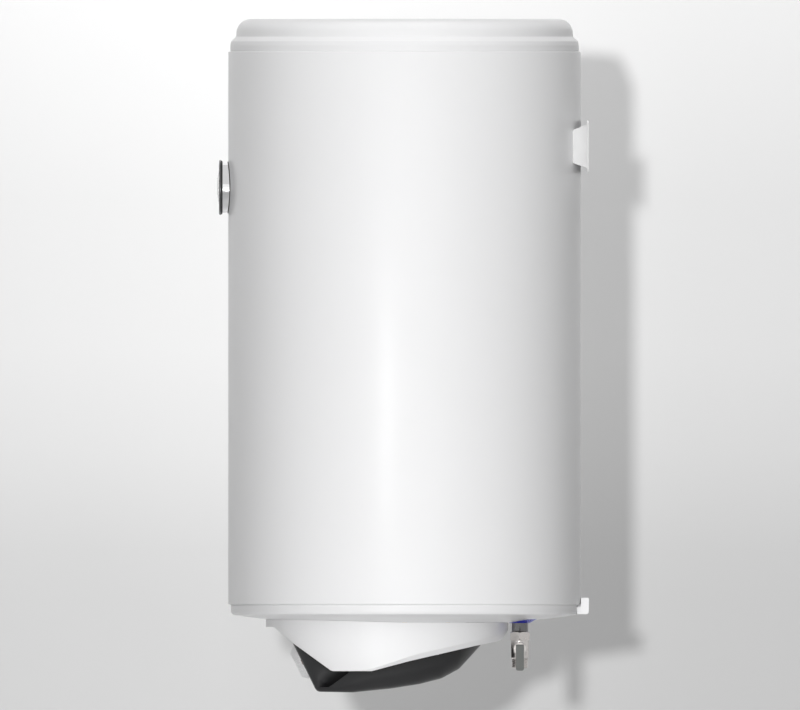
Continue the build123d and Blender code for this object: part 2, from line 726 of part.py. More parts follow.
with BuildPart() as thermostat_body:
    with BuildSketch(fascia(BODY_FRONT)):
        RectangleRounded(38, 36, 4)
    extrude(amount=-26)
    with BuildSketch(fascia(BODY_FRONT)):
        Circle(SPINDLE_R + 0.05)
    extrude(amount=-12.5, mode=Mode.SUBTRACT)
save(thermostat_body, "thermostat_body")

BULB_TOP = POCKET_TOP - 30
BULB_LOW = BULB_TOP - 110
CAPILLARY_R = 0.9
body_back = KNOB_POINT + FASCIA_OUT * (BODY_FRONT - 26)
body_back_out = body_back - FASCIA_OUT * 12
with BuildPart() as thermostat_bulb:
    with BuildSketch(level(BULB_LOW, y=POCKET_Y)):
        Circle(3.5)
    extrude(amount=BULB_TOP - BULB_LOW)
    with BuildLine() as capillary:
        FilletPolyline(
            (0, POCKET_Y, BULB_LOW),
            (0, POCKET_Y, -603),
            (0, POCKET_Y - 35, -612),
            tuple(body_back_out),
            tuple(body_back),
            radius=[8, 12, 12],
        )
    with BuildSketch(level(BULB_LOW, y=POCKET_Y)):
        Circle(CAPILLARY_R)
    sweep(path=capillary.line)
save(thermostat_bulb, "thermostat_bulb")

with BuildPart() as indicator_lens:
    with BuildSketch(fascia(-4, across=LENS_ACROSS)):
        Circle(LENS_R)
    extrude(amount=4.6)
save(indicator_lens, "indicator_lens")

with BuildPart() as indicator_lamp:
    with BuildSketch(fascia(-4, across=LENS_ACROSS)):
        Circle(LENS_R - 0.5)
    extrude(amount=-14)
save(indicator_lamp, "indicator_lamp")

with BuildPart() as internal_leads:
    left_pole = (BLOCK_X - POLE_PITCH, BLOCK_Y - 6)
    middle_pole = (BLOCK_X, BLOCK_Y - 6)
    right_pole = (BLOCK_X + POLE_PITCH, BLOCK_Y - 6)
    for (x0, y0), (x1, y1), top, drop in (
        (left_pole, (-ELEMENT_X, AXIS_Y), ELEMENT_END - 12, 6),
        (middle_pole, (ELEMENT_X, AXIS_Y), ELEMENT_END - 12, 6),
        (right_pole, (0, EARTH_Y), PLATE_FACE - 16, 12),
    ):
        lead_level = BRACKET_FACE - BLOCK_H - drop
        with BuildLine() as route:
            FilletPolyline(
                (x0, y0, BRACKET_FACE - BLOCK_H),
                (x0, y0, lead_level),
                (x1, y1, lead_level),
                (x1, y1, top),
                radius=[3.5, 3.5],
            )
        with BuildSketch(Plane((x0, y0, BRACKET_FACE - BLOCK_H), z_dir=(0, 0, -1))):
            Circle(1.4)
        sweep(path=route.line)
save(internal_leads, "internal_leads")

GLAND_BORE_R = 4.5
with BuildPart() as cable_gland:
    gland_end = Plane((-COVER_R - 9, COVER_Y, -614), x_dir=(0, 1, 0), z_dir=(1, 0, 0))
    with BuildSketch(gland_end):
        RegularPolygon(9.5, 6, major_radius=False)
    extrude(amount=8.6)
    with BuildSketch(gland_end):
        Circle(8.0)
    extrude(amount=20)
    with BuildSketch(gland_end):
        Circle(GLAND_BORE_R)
    extrude(amount=20, mode=Mode.SUBTRACT)
save(cable_gland, "cable_gland")

# ---------------------------------------------------------------- thermometer
DRUM_FACE = 227.4
BEZEL_R = 34.5
DIAL_FACE = 225.4
with BuildPart() as thermometer_housing:
    with BuildSketch(facing_front(205)):
        Circle(GAUGE_R)
    extrude(amount=DRUM_FACE - 205)
    with BuildSketch(level(GAUGE_Z - 50)):
        Circle(SHELL_R)
    extrude(amount=100, mode=Mode.SUBTRACT)
    with BuildSketch(facing_front(222.5)):
        Circle(GAUGE_R - 1.5)
    extrude(amount=10, mode=Mode.SUBTRACT)
    with BuildSketch(facing_front(215)):
        Circle(3.0)
    extrude(amount=10, mode=Mode.SUBTRACT)
save(thermometer_housing, "thermometer_housing")

GAUGE_SECTION = Plane((0, AXIS_Y, GAUGE_Z), x_dir=(1, 0, 0), z_dir=(0, 0, -1))  # (radius, reach)
GAUGE_AXIS = Axis((0, AXIS_Y, GAUGE_Z), (0, -1, 0))
with BuildPart() as thermometer_bezel:
    with BuildSketch(GAUGE_SECTION):
        Polygon(
            (30.0, DRUM_FACE),
            (BEZEL_R, DRUM_FACE),
            (BEZEL_R, 230.4),
            (33.4, 231.5),
            (30.4, 231.5),
            (29.2, 230.7),
            (29.2, 229.7),
            (30.0, 229.7),
            align=None,
        )
    revolve(axis=GAUGE_AXIS)
save(thermometer_bezel, "thermometer_bezel")

GLASS_R = 92.0  # crown radius of the glass
GLASS_TOP = 234.2
GLASS = 1.4
GLASS_RIM_R = 28.8
rim_angle = math.degrees(math.acos(GLASS_RIM_R / GLASS_R))
inner_angle = math.degrees(math.acos((GLASS_RIM_R - 0.6) / (GLASS_R - GLASS)))
with BuildPart() as thermometer_glass:
    with BuildSketch(GAUGE_SECTION):
        with BuildLine():
            crown = CenterArc((0, GLASS_TOP - GLASS_R), GLASS_R, rim_angle, 90 - rim_angle)
            under = CenterArc((0, GLASS_TOP - GLASS_R), GLASS_R - GLASS, inner_angle, 90 - inner_angle)
            Line(crown @ 1, under @ 1)
            Polyline(crown @ 0, (29.8, (crown @ 0).Y), (29.8, (under @ 0).Y), under @ 0)
        make_face()
    revolve(axis=GAUGE_AXIS)
save(thermometer_glass, "thermometer_glass")

ARBOR_R = 1.0
with BuildPart() as thermometer_dial:
    with BuildSketch(facing_front(DIAL_FACE - 0.8)):
        Circle(GAUGE_R - 1.6)
        Circle(ARBOR_R + 0.05, mode=Mode.SUBTRACT)
    extrude(amount=0.8)
save(thermometer_dial, "thermometer_dial")

with BuildPart() as thermometer_stem:
    with BuildSketch(facing_front(TANK_R + 0.1)):
        Circle(3.0)
    extrude(amount=DIAL_FACE - 1.5 - TANK_R - 0.1)
    with BuildSketch(facing_front(218)):
        Circle(ARBOR_R + 0.05)
    extrude(amount=10, mode=Mode.SUBTRACT)
save(thermometer_stem, "thermometer_stem")

with BuildPart() as thermometer_arbor:
    with BuildSketch(facing_front(218.4)):
        Circle(ARBOR_R)
    extrude(amount=8.8)
save(thermometer_arbor, "thermometer_arbor")

NEEDLE_LENGTH = 23.0
NEEDLE_TAIL = 8.0
NEEDLE_REST = 210.0  # the low end of the scale, counted from +X
with BuildPart() as thermometer_needle:
    with BuildSketch(facing_front(DIAL_FACE + 0.6)):
        with Locations(Rotation(0, 0, NEEDLE_REST)):
            Polygon(
                (NEEDLE_LENGTH, 0),
                (0, 1.3),
                (-NEEDLE_TAIL, 2.2),
                (-NEEDLE_TAIL, -2.2),
                (0, -1.3),
                align=None,
            )
        Circle(3.0)
        Circle(ARBOR_R, mode=Mode.SUBTRACT)
    extrude(amount=0.6)
save(thermometer_needle, "thermometer_needle")

# ---------------------------------------------------------------- safety valve
VALVE_SOCKET = -606.0
VALVE_NECK = -616.5
VALVE_THREAD = -639.6
VALVE_END = -651.0
VALVE_R = 11.25
RELIEF_Z = -627.0
BOSS_R = 8.4
BOSS_END = PIPE_X + 26.0
CHAMBER = PIPE_X + 8.5
CHAMBER_R = 6.0
SPOUT_X = PIPE_X + 21.0
SPOUT_R = 4.0
SPOUT_END = -650.0
SPOUT_COLLAR_R = 5.0
SPOUT_COLLAR_END = -637.0
CHECK_SEAT = -644.0
STEM_R = 1.5
RUN = 0.05  # radial clearance of the valve's sliding stems


def across(x):
    """Plane square to the relief spindle, at x."""
    return Plane((x, PIPE_Y, RELIEF_Z), x_dir=(0, 1, 0), z_dir=(1, 0, 0))


with BuildPart() as safety_valve_body:
    with BuildSketch(level(VALVE_NECK, PIPE_X, PIPE_Y)):
        RegularPolygon(12.0, 6, major_radius=False)
    extrude(amount=VALVE_SOCKET - VALVE_NECK)
    with BuildSketch(level(VALVE_THREAD, PIPE_X, PIPE_Y)):
        Circle(VALVE_R)
    extrude(amount=VALVE_NECK - VALVE_THREAD)
    with BuildSketch(level(VALVE_END, PIPE_X, PIPE_Y)):
        Circle(PIPE_R)
    extrude(amount=VALVE_THREAD - VALVE_END)
    with BuildSketch(across(PIPE_X)):
        Circle(BOSS_R)
    extrude(amount=BOSS_END - PIPE_X)
    with BuildSketch(level(SPOUT_END, SPOUT_X, PIPE_Y)):
        Circle(SPOUT_R)
    extrude(amount=SPOUT_COLLAR_END - SPOUT_END)
    with BuildSketch(level(SPOUT_COLLAR_END, SPOUT_X, PIPE_Y)):
        Circle(SPOUT_COLLAR_R)
    extrude(amount=RELIEF_Z - SPOUT_COLLAR_END)
    with BuildSketch(level(VALVE_END, PIPE_X, PIPE_Y)):
        Circle(5.0)
    extrude(amount=20, mode=Mode.SUBTRACT)
    with BuildSketch(level(CHECK_SEAT, PIPE_X, PIPE_Y)):
        Circle(7.0)
    extrude(amount=VALVE_NECK + 0.2 - CHECK_SEAT, mode=Mode.SUBTRACT)
    with BuildSketch(level(VALVE_NECK + 0.2, PIPE_X, PIPE_Y)):
        Circle(PIPE_R)
    extrude(amount=20, mode=Mode.SUBTRACT)
    with BuildSketch(across(PIPE_X)):
        Circle(3.0)
    extrude(amount=20, mode=Mode.SUBTRACT)
    with BuildSketch(across(CHAMBER)):
        Circle(CHAMBER_R)
    extrude(amount=BOSS_END - CHAMBER, mode=Mode.SUBTRACT)
    with BuildSketch(level(SPOUT_END, SPOUT_X, PIPE_Y)):
        Circle(2.5)
    extrude(amount=RELIEF_Z - SPOUT_END, mode=Mode.SUBTRACT)
save(safety_valve_body, "safety_valve_body")

BONNET_END = BOSS_END + 3.0
with BuildPart() as relief_bonnet:
    with BuildSketch(across(BOSS_END - 4)):
        Circle(CHAMBER_R)
    extrude(amount=4)
    with BuildSketch(across(BOSS_END)):
        Circle(BOSS_R)
    extrude(amount=BONNET_END - BOSS_END)
    with BuildSketch(across(BOSS_END - 4)):
        Circle(STEM_R + RUN)
    extrude(amount=8, mode=Mode.SUBTRACT)
save(relief_bonnet, "relief_bonnet")

LEVER_PIVOT = BONNET_END + 4.6
PIN_R = 1.25
EYE_R = 2.2
EYE_HALF_W = 1.8


def along_pin(reach):
    """Plane square to the lever's pin, a reach behind the valve's middle, facing the front."""
    return Plane((LEVER_PIVOT, PIPE_Y + reach, RELIEF_Z), x_dir=(1, 0, 0), z_dir=(0, -1, 0))


with BuildPart() as relief_spindle:
    with BuildSketch(across(CHAMBER + 1.2)):
        Circle(5.2)
    extrude(amount=1.3)
    with BuildSketch(across(CHAMBER + 2.5)):
        Circle(STEM_R)
    extrude(amount=LEVER_PIVOT - CHAMBER - 2.5)
    with BuildSketch(along_pin(EYE_HALF_W)):
        Circle(EYE_R)
    extrude(amount=2 * EYE_HALF_W)
    with BuildSketch(along_pin(3)):
        Circle(PIN_R)
    extrude(amount=6, mode=Mode.SUBTRACT)
save(relief_spindle, "relief_spindle")

with BuildPart() as relief_seal:
    with BuildSketch(across(CHAMBER + 0.3)):
        Circle(4.6)
    extrude(amount=0.9)
save(relief_seal, "relief_seal")

LEVER_HALF_W = 5.0
PIN_HALF_L = LEVER_HALF_W - 0.4
with BuildPart() as lever_pin:
    with BuildSketch(along_pin(PIN_HALF_L)):
        Circle(PIN_R)
    extrude(amount=2 * PIN_HALF_L)
save(lever_pin, "lever_pin")

LEVER_END = -654.2
with BuildPart() as safety_lever:
    with BuildSketch(along_pin(LEVER_HALF_W)):
        with BuildLine():
            FilletPolyline(
                (-4.0, 5.4),
                (4.5, 5.4),
                (4.5, LEVER_END - RELIEF_Z),
                (1.2, LEVER_END - RELIEF_Z),
                (1.2, -7.5),
                (-4.0, -4.6),
                radius=[3.8, 1.5, 1, 1, 1.5, 1.5],
                close=True,
            )
        make_face()
    extrude(amount=2 * LEVER_HALF_W)
    with BuildSketch(Plane((LEVER_PIVOT - 8, PIPE_Y, RELIEF_Z), x_dir=(0, 1, 0), z_dir=(1, 0, 0))):
        with BuildLine():
            FilletPolyline(
                (-LEVER_HALF_W, 6),
                (-LEVER_HALF_W, LEVER_END - RELIEF_Z),
                (LEVER_HALF_W, LEVER_END - RELIEF_Z),
                (LEVER_HALF_W, 6),
                radius=[0, 2.5, 2.5, 0],
                close=True,
            )
        make_face()
    extrude(amount=16, mode=Mode.INTERSECT)
    with BuildSketch(along_pin(2.2)):
        with Locations((-1.7, 1.5)):
            Rectangle(8.8, 9.0)
    extrude(amount=4.4, mode=Mode.SUBTRACT)
    with BuildSketch(along_pin(8)):
        Circle(PIN_R + RUN)
    extrude(amount=16, mode=Mode.SUBTRACT)
save(safety_lever, "safety_lever")

GUIDE_LOW = -633.0
CHECK_LIFT_GAP = 0.3
with BuildPart() as check_guide:
    with BuildSketch(level(GUIDE_LOW, PIPE_X, PIPE_Y)):
        Circle(7.0)
        Circle(STEM_R + RUN, mode=Mode.SUBTRACT)
        with PolarLocations(4.3, 6):
            Circle(1.5, mode=Mode.SUBTRACT)
    extrude(amount=2)
save(check_guide, "check_guide")

with BuildPart() as check_disc:
    with BuildSketch(level(CHECK_SEAT + CHECK_LIFT_GAP, PIPE_X, PIPE_Y)):
        Circle(6.2)
    extrude(amount=1.6)
    with BuildSketch(level(CHECK_SEAT + CHECK_LIFT_GAP, PIPE_X, PIPE_Y)):
        Circle(STEM_R)
    extrude(amount=13.5)
save(check_disc, "check_disc")

SPRING_R = 4.0
WIRE_R = 0.45


def coil(start, direction, height, name):
    """Compression spring of round wire between two seats, written as its own sub-part."""
    with BuildPart() as spring:
        with BuildLine() as wire:
            Helix(pitch=height / 4, height=height, radius=SPRING_R, center=start, direction=direction)
        with BuildSketch(Plane(wire.line @ 0, z_dir=wire.line % 0)):
            Circle(WIRE_R)
        sweep(path=wire.line, is_frenet=True)
    save(spring, name)


coil((PIPE_X, PIPE_Y, CHECK_SEAT + 2.9), (0, 0, 1), 7.3, "check_spring")
coil((CHAMBER + 3.4, PIPE_Y, RELIEF_Z), (1, 0, 0), 9.0, "relief_spring")
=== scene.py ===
"""Looks for the wall-hung tank water heater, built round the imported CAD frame.

Shapes are written in millimetres, as in the CAD, and turned into metres when a piece is made.
"""

import json
import math

import bmesh
import bpy
from mathutils import Matrix, Vector


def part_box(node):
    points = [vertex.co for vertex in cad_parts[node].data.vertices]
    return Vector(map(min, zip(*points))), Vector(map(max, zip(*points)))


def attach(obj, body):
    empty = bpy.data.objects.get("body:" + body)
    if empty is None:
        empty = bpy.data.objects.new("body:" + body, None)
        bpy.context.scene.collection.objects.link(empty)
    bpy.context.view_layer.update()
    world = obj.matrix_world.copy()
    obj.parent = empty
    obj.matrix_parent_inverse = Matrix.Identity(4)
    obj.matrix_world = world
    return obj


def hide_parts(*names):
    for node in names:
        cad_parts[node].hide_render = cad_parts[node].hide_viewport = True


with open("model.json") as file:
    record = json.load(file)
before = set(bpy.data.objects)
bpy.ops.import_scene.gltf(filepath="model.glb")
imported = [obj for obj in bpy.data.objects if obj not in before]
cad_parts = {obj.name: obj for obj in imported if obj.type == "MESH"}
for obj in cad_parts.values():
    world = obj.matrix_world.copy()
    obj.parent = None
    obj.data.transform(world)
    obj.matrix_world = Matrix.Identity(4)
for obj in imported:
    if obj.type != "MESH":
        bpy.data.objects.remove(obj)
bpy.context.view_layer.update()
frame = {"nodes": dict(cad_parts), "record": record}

MM = 0.001


def box_mm(node):
    """Lowest and highest corner of a CAD node, in millimetres."""
    low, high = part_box(node)
    return low / MM, high / MM


# ---------------------------------------------------------------- sizes read from the frame
shell_low, shell_high = box_mm("outer_shell")
SHELL_R = (shell_high.x - shell_low.x) / 2
AXIS_Y = (shell_high.y + shell_low.y) / 2
SHELL_TOP = shell_high.z
SHELL_BOTTOM = shell_low.z
LID_TOP = box_mm("top_lid")[1].z
CAP_BOTTOM = box_mm("bottom_cap")[0].z
cover_low, cover_high = box_mm("service_cover")
COVER_R = (cover_high.x - cover_low.x) / 2
COVER_Y = AXIS_Y - 22.0
control_low, control_high = box_mm("control_cover")
CONTROL_HALF_W = (control_high.x - control_low.x) / 2
CONTROL_HALF_D = 123.0
CONTROL_Y = AXIS_Y - 28.0
CONTROL_TOP = control_high.z
dial_low, dial_high = box_mm("thermometer_dial")
GAUGE_Z = (dial_high.z + dial_low.z) / 2
DIAL_FACE = AXIS_Y - dial_low.y
cold_low, cold_high = box_mm("cold_inlet_pipe")
PIPE_X = (cold_high.x + cold_low.x) / 2
PIPE_Y = (cold_high.y + cold_low.y) / 2
PIPE_R = (cold_high.x - cold_low.x) / 2
PIPE_BORE_R = 8.0
SHEET = 0.8
PLASTIC = 2.5
SPIGOT_R = 211.5


# ---------------------------------------------------------------- mesh helpers
def placed(origin, z_axis, x_axis):
    """Matrix of a local frame: its origin and the directions of its z and x axes."""
    z = Vector(z_axis).normalized()
    x = (Vector(x_axis) - Vector(x_axis).dot(z) * z).normalized()
    rows = Matrix((x, z.cross(x), z)).transposed().to_4x4()
    return Matrix.Translation(Vector(origin)) @ rows


def upright_at(x, y):
    """Local frame that stands upright at a place in plan."""
    return placed((x, y, 0), (0, 0, 1), (1, 0, 0))


UPRIGHT = upright_at(0, AXIS_Y)


def rounded(corners, closed=True, steps=6):
    """Outline through (u, v, radius) corners, each turned by an arc of its radius."""
    outline = []
    for index, (u, v, radius) in enumerate(corners):
        corner = Vector((u, v))
        at_end = not closed and index in (0, len(corners) - 1)
        if radius <= 0 or at_end:
            outline.append(corner)
            continue
        back = (Vector(corners[index - 1][:2]) - corner).normalized()
        ahead = (Vector(corners[(index + 1) % len(corners)][:2]) - corner).normalized()
        half = back.angle(ahead) / 2
        centre = corner + (back + ahead).normalized() * radius / math.sin(half)
        first = corner + back * radius / math.tan(half) - centre
        turning = (math.pi - 2 * half) * (1 if back.cross(ahead) < 0 else -1)
        for step in range(steps + 1):
            outline.append(centre + Matrix.Rotation(turning * step / steps, 2) @ first)
    return [(point.x, point.y) for point in outline]


def piece(name, mesh, sharp=32.0):
    """Turns a bmesh in millimetres into a Blender object in metres, smooth up to an angle."""
    bmesh.ops.remove_doubles(mesh, verts=mesh.verts, dist=1e-4)
    bmesh.ops.recalc_face_normals(mesh, faces=mesh.faces)
    mesh.transform(Matrix.Scale(MM, 4))
    data = bpy.data.meshes.new(name)
    mesh.to_mesh(data)
    mesh.free()
    data.shade_smooth()
    data.set_sharp_from_angle(angle=math.radians(sharp))
    made = bpy.data.objects.new(name, data)
    bpy.context.scene.collection.objects.link(made)
    return made


def bridge(mesh, rings, wrap_rings=False, wrap_points=True):
    """Quads between rows of vertices; a row of one vertex is a pole."""
    pairs = list(zip(rings, rings[1:]))
    if wrap_rings:
        pairs.append((rings[-1], rings[0]))
    for low, high in pairs:
        count = max(len(low), len(high))
        for i in range(count if wrap_points else count - 1):
            j = (i + 1) % count
            loop = [low[i % len(low)], low[j % len(low)], high[j % len(high)], high[i % len(high)]]
            corners = list(dict.fromkeys(loop))
            if len(corners) > 2:
                mesh.faces.new(corners)


def lathe(name, outline, place=UPRIGHT, segments=128, ripple=None, sharp=32.0):
    """Closed (radius, height) outline turned about the frame's z axis; ripple shifts the radius."""
    mesh = bmesh.new()
    rings = []
    for radius, height in outline:
        if radius < 0.01:
            rings.append([mesh.verts.new(place @ Vector((0, 0, height)))])
            continue
        ring = []
        for i in range(segments):
            angle = 2 * math.pi * i / segments
            r = radius + (ripple(angle, radius, height) if ripple else 0.0)
            ring.append(mesh.verts.new(place @ Vector((r * math.cos(angle), r * math.sin(angle), height))))
        rings.append(ring)
    bridge(mesh, rings, wrap_rings=True)
    return piece(name, mesh, sharp)


def prism(name, outline, place, low, high, bevel=0.0, sharp=32.0):
    """Closed outline in the frame's xy plane, raised from low to high along its z axis."""
    mesh = bmesh.new()
    rings = [[mesh.verts.new(place @ Vector((u, v, level))) for u, v in outline] for level in (low, high)]
    bridge(mesh, rings)
    mesh.faces.new(rings[0])
    mesh.faces.new(rings[1])
    made = piece(name, mesh, sharp)
    if bevel:
        soften(made, bevel)
    return made


def soften(made, width, segments=3, angle=35.0):
    """Small rounding on the sharp edges, kept as a modifier."""
    bevel = made.modifiers.new("soft_edges", "BEVEL")
    bevel.width = width * MM
    bevel.segments = segments
    bevel.limit_method = "ANGLE"
    bevel.angle_limit = math.radians(angle)
    bevel.harden_normals = True
    return made


def apply_modifiers(made, sharp=32.0):
    """Bakes an object's modifiers into its mesh."""
    bpy.context.view_layer.update()
    graph = bpy.context.evaluated_depsgraph_get()
    data = bpy.data.meshes.new_from_object(made.evaluated_get(graph))
    made.modifiers.clear()
    made.data = data
    data.shade_smooth()
    data.set_sharp_from_angle(angle=math.radians(sharp))
    return made


def combine(made, how, *others, sharp=32.0):
    """Exact boolean of an object with others, which are used up."""
    for other in others:
        step = made.modifiers.new(how.lower(), "BOOLEAN")
        step.operation = how
        step.solver = "EXACT"
        step.object = other
        apply_modifiers(made, sharp)
        bpy.data.objects.remove(other)
    return made


def hexagon(across_flats):
    """Corners of a hexagon with that distance across its flats."""
    return circle(across_flats / math.sqrt(3), 6)


def circle(radius, count=48, centre=(0.0, 0.0)):
    """Points of a circle."""
    angles = [2 * math.pi * i / count for i in range(count)]
    return [(centre[0] + radius * math.cos(a), centre[1] + radius * math.sin(a)) for a in angles]


def thread_ripple(crest_r, pitch, depth):
    """Ripple that cuts a screw thread where the outline is at the crest radius."""

    def ripple(angle, radius, height):
        if abs(radius - crest_r) > 0.01:
            return 0.0
        turn = (height / pitch - angle / (2 * math.pi)) % 1.0
        groove = max(0.0, min(1.0, 2.2 - abs(turn - 0.5) * 6.0))
        return -depth * groove

    return ripple


def threaded_tube(name, crest_r, bore_r, low, high, place, pitch=1.81, depth=0.7, segments=72, beyond=()):
    """Tube with an outside thread from low to high, then the (radius, height) points beyond it."""
    rows = int((high - low) / pitch * 8)
    outline = [(bore_r, low), (crest_r - depth - 0.3, low)]
    outline += [(crest_r, low + 0.6 + (high - low - 0.6) * i / rows) for i in range(rows + 1)]
    outline += list(beyond)
    outline.append((bore_r, outline[-1][1]))
    return lathe(name, outline, place, segments, thread_ripple(crest_r, pitch, depth), sharp=50)


def settle(made, body, slot, material, *nodes):
    """Gives a piece its body and its material, and hides the CAD nodes it stands for; the slot is not used.
    """
    made.data.materials.clear()
    made.data.materials.append(material)
    if nodes:
        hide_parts(*nodes)
    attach(made, body)
    return made


# ---------------------------------------------------------------- materials
class Graph:
    """Short words for building one material's node tree."""

    def __init__(self, name):
        self.material = bpy.data.materials.new(name)
        self.material.use_nodes = True
        self.tree = self.material.node_tree
        self.shader = self.tree.nodes["Principled BSDF"]
        self.place = self.node("ShaderNodeTexCoord").outputs["Object"]

    def node(self, kind, **settings):
        made = self.tree.nodes.new(kind)
        for key, value in settings.items():
            setattr(made, key, value)
        return made

    def link(self, source, target):
        self.tree.links.new(source, target)

    def noise(self, scale, detail=3.0, stretch=(1, 1, 1), roughness=0.55):
        mapping = self.node("ShaderNodeMapping")
        mapping.inputs["Scale"].default_value = stretch
        noise = self.node("ShaderNodeTexNoise")
        noise.inputs["Scale"].default_value = scale
        noise.inputs["Detail"].default_value = detail
        noise.inputs["Roughness"].default_value = roughness
        self.link(self.place, mapping.inputs["Vector"])
        self.link(mapping.outputs["Vector"], noise.inputs["Vector"])
        return noise.outputs["Fac"]

    def spread(self, source, low, high, start=0.3, end=0.7):
        ranged = self.node("ShaderNodeMapRange")
        ranged.inputs["From Min"].default_value = start
        ranged.inputs["From Max"].default_value = end
        ranged.inputs["To Min"].default_value = low
        ranged.inputs["To Max"].default_value = high
        self.link(source, ranged.inputs["Value"])
        return ranged.outputs["Result"]

    def along(self, axis, stops):
        """Grey that follows (position, grey) stops along one object axis, in metres."""
        parted = self.node("ShaderNodeSeparateXYZ")
        self.link(self.place, parted.inputs[0])
        low, high = stops[0][0], stops[-1][0]
        ramp = self.node("ShaderNodeValToRGB")
        self.link(self.spread(parted.outputs[axis], 0.0, 1.0, low, high), ramp.inputs[0])
        elements = ramp.color_ramp.elements
        for index, (position, grey) in enumerate(stops):
            share = (position - low) / (high - low)
            if 0 < index < len(stops) - 1:
                element = elements.new(share)
            else:
                element = elements[0 if index == 0 else -1]
            element.color = (grey, grey, grey, 1.0)
        return ramp.outputs["Color"]

    def mix(self, share, first, second):
        """Colour between two colours or sockets, by a share."""
        mixed = self.node("ShaderNodeMix", data_type="RGBA")
        for socket, value in ((mixed.inputs[6], first), (mixed.inputs[7], second)):
            if isinstance(value, bpy.types.NodeSocket):
                self.link(value, socket)
            else:
                socket.default_value = (*value, 1.0)
        self.link(share, mixed.inputs[0])
        return mixed.outputs[2]

    def bump(self, source, distance, strength=1.0, before=None):
        bump = self.node("ShaderNodeBump")
        bump.inputs["Distance"].default_value = distance
        bump.inputs["Strength"].default_value = strength
        self.link(source, bump.inputs["Height"])
        if before:
            self.link(before, bump.inputs["Normal"])
        return bump.outputs["Normal"]


def tinted(colour, factor):
    return tuple(min(1.0, channel * factor) for channel in colour)


MATERIALS = {}


def finish(
    slot,
    colour,
    rough,
    metallic=0.0,
    grain=(900.0, 2e-5),
    ripple=(60.0, 1e-5),
    blotch=0.03,
    rough_spread=0.05,
    brushed=None,
    **sockets,
):
    """Adds one slot's material: mottled colour, uneven roughness, grain and a long ripple."""
    graph = Graph(slot)
    shader = graph.shader
    cloud = graph.noise(14.0, 4.0)
    fine = graph.noise(grain[0], 2.0)
    darker, lighter = tinted(colour, 1 - blotch), tinted(colour, 1 + blotch)
    mottled = graph.mix(graph.spread(cloud, 0.0, 1.0), darker, lighter)
    speck = graph.spread(fine, 0.0, 1.0, 0.2, 0.8)
    coloured = graph.mix(speck, mottled, graph_shade(graph, mottled, 1 - blotch))
    graph.link(coloured, shader.inputs["Base Color"])
    normal = graph.bump(graph.noise(ripple[0], 2.0), ripple[1])
    normal = graph.bump(fine, grain[1], before=normal)
    smear = graph.noise(35.0, 5.0)
    if brushed:
        lines = graph.noise(90.0, 4.0, stretch=brushed, roughness=0.7)
        normal = graph.bump(lines, 1.5e-5, before=normal)
        smear = lines
    graph.link(graph.spread(smear, rough - rough_spread, rough + rough_spread), shader.inputs["Roughness"])
    graph.link(normal, shader.inputs["Normal"])
    shader.inputs["Metallic"].default_value = metallic
    for name, value in sockets.items():
        shader.inputs[name.replace("_", " ")].default_value = value
    MATERIALS[slot] = graph.material


def graph_shade(graph, source, factor):
    """Darker copy of a colour socket."""
    darker = graph.node("ShaderNodeMix", data_type="RGBA", blend_type="MULTIPLY")
    darker.inputs[0].default_value = 1.0
    darker.inputs[7].default_value = (factor, factor, factor, 1.0)
    graph.link(source, darker.inputs[6])
    return darker.outputs[2]


ALONG_X, ALONG_Z = (0.05, 1, 1), (1, 1, 0.05)
AROUND = (1, 1, 30)

finish(
    "white_enamel", (0.785, 0.785, 0.79), 0.30, grain=(1500.0, 3e-6), ripple=(45.0, 4e-6), blotch=0.005,
    rough_spread=0.02, IOR=1.45,
)
finish(
    "white_plastic", (0.775, 0.775, 0.78), 0.34, grain=(1600.0, 8e-6), ripple=(40.0, 2e-5), blotch=0.008,
    rough_spread=0.04, IOR=1.49, Subsurface_Weight=0.04, Subsurface_Radius=(0.002, 0.002, 0.002),
)
finish(
    "white_bracket", (0.62, 0.62, 0.62), 0.36, grain=(900.0, 8e-6), blotch=0.008,
)
finish(
    "charcoal_plastic", (0.020, 0.020, 0.021), 0.40, grain=(2600.0, 2e-5), blotch=0.08,
    rough_spread=0.05, Specular_IOR_Level=0.38,
)
finish("grey_plastic", (0.50, 0.51, 0.52), 0.45, grain=(1800.0, 1.5e-5), blotch=0.04)
finish("dark_plastic", (0.035, 0.035, 0.038), 0.42, grain=(2200.0, 2e-5), blotch=0.08)
finish("red_plastic", (0.60, 0.03, 0.03), 0.30, grain=(1500.0, 1e-5), blotch=0.05)
finish("blue_plastic", (0.012, 0.02, 0.46), 0.28, grain=(1500.0, 1e-5), blotch=0.06)
finish("knob_plastic", (0.66, 0.66, 0.665), 0.34, grain=(1800.0, 1e-5), blotch=0.02)
finish(
    "lens_plastic", (0.30, 0.09, 0.02), 0.16, grain=(900.0, 4e-6), blotch=0.05, Transmission_Weight=0.55,
)
finish(
    "lamp_glass", (0.92, 0.62, 0.42), 0.06, grain=(600.0, 3e-6), blotch=0.04, Transmission_Weight=0.8,
)
finish("lead_sheath", (0.30, 0.16, 0.07), 0.48, grain=(1200.0, 1e-5), blotch=0.07)
finish(
    "zinc_steel", (0.66, 0.67, 0.68), 0.32, 1.0, grain=(900.0, 1e-5), blotch=0.10, brushed=AROUND,
)
finish(
    "spring_steel", (0.52, 0.52, 0.54), 0.26, 1.0, grain=(2000.0, 8e-6), blotch=0.10, brushed=ALONG_X,
)
finish(
    "element_sheath", (0.42, 0.42, 0.42), 0.36, 1.0, grain=(1200.0, 1e-5), blotch=0.14, brushed=ALONG_Z,
)
finish(
    "enamelled_steel", (0.05, 0.08, 0.15), 0.16, grain=(420.0, 2e-5), blotch=0.16, Coat_Weight=0.5,
)
finish("foam", (0.80, 0.70, 0.42), 0.85, grain=(420.0, 3e-4), ripple=(70.0, 4e-4), blotch=0.12)
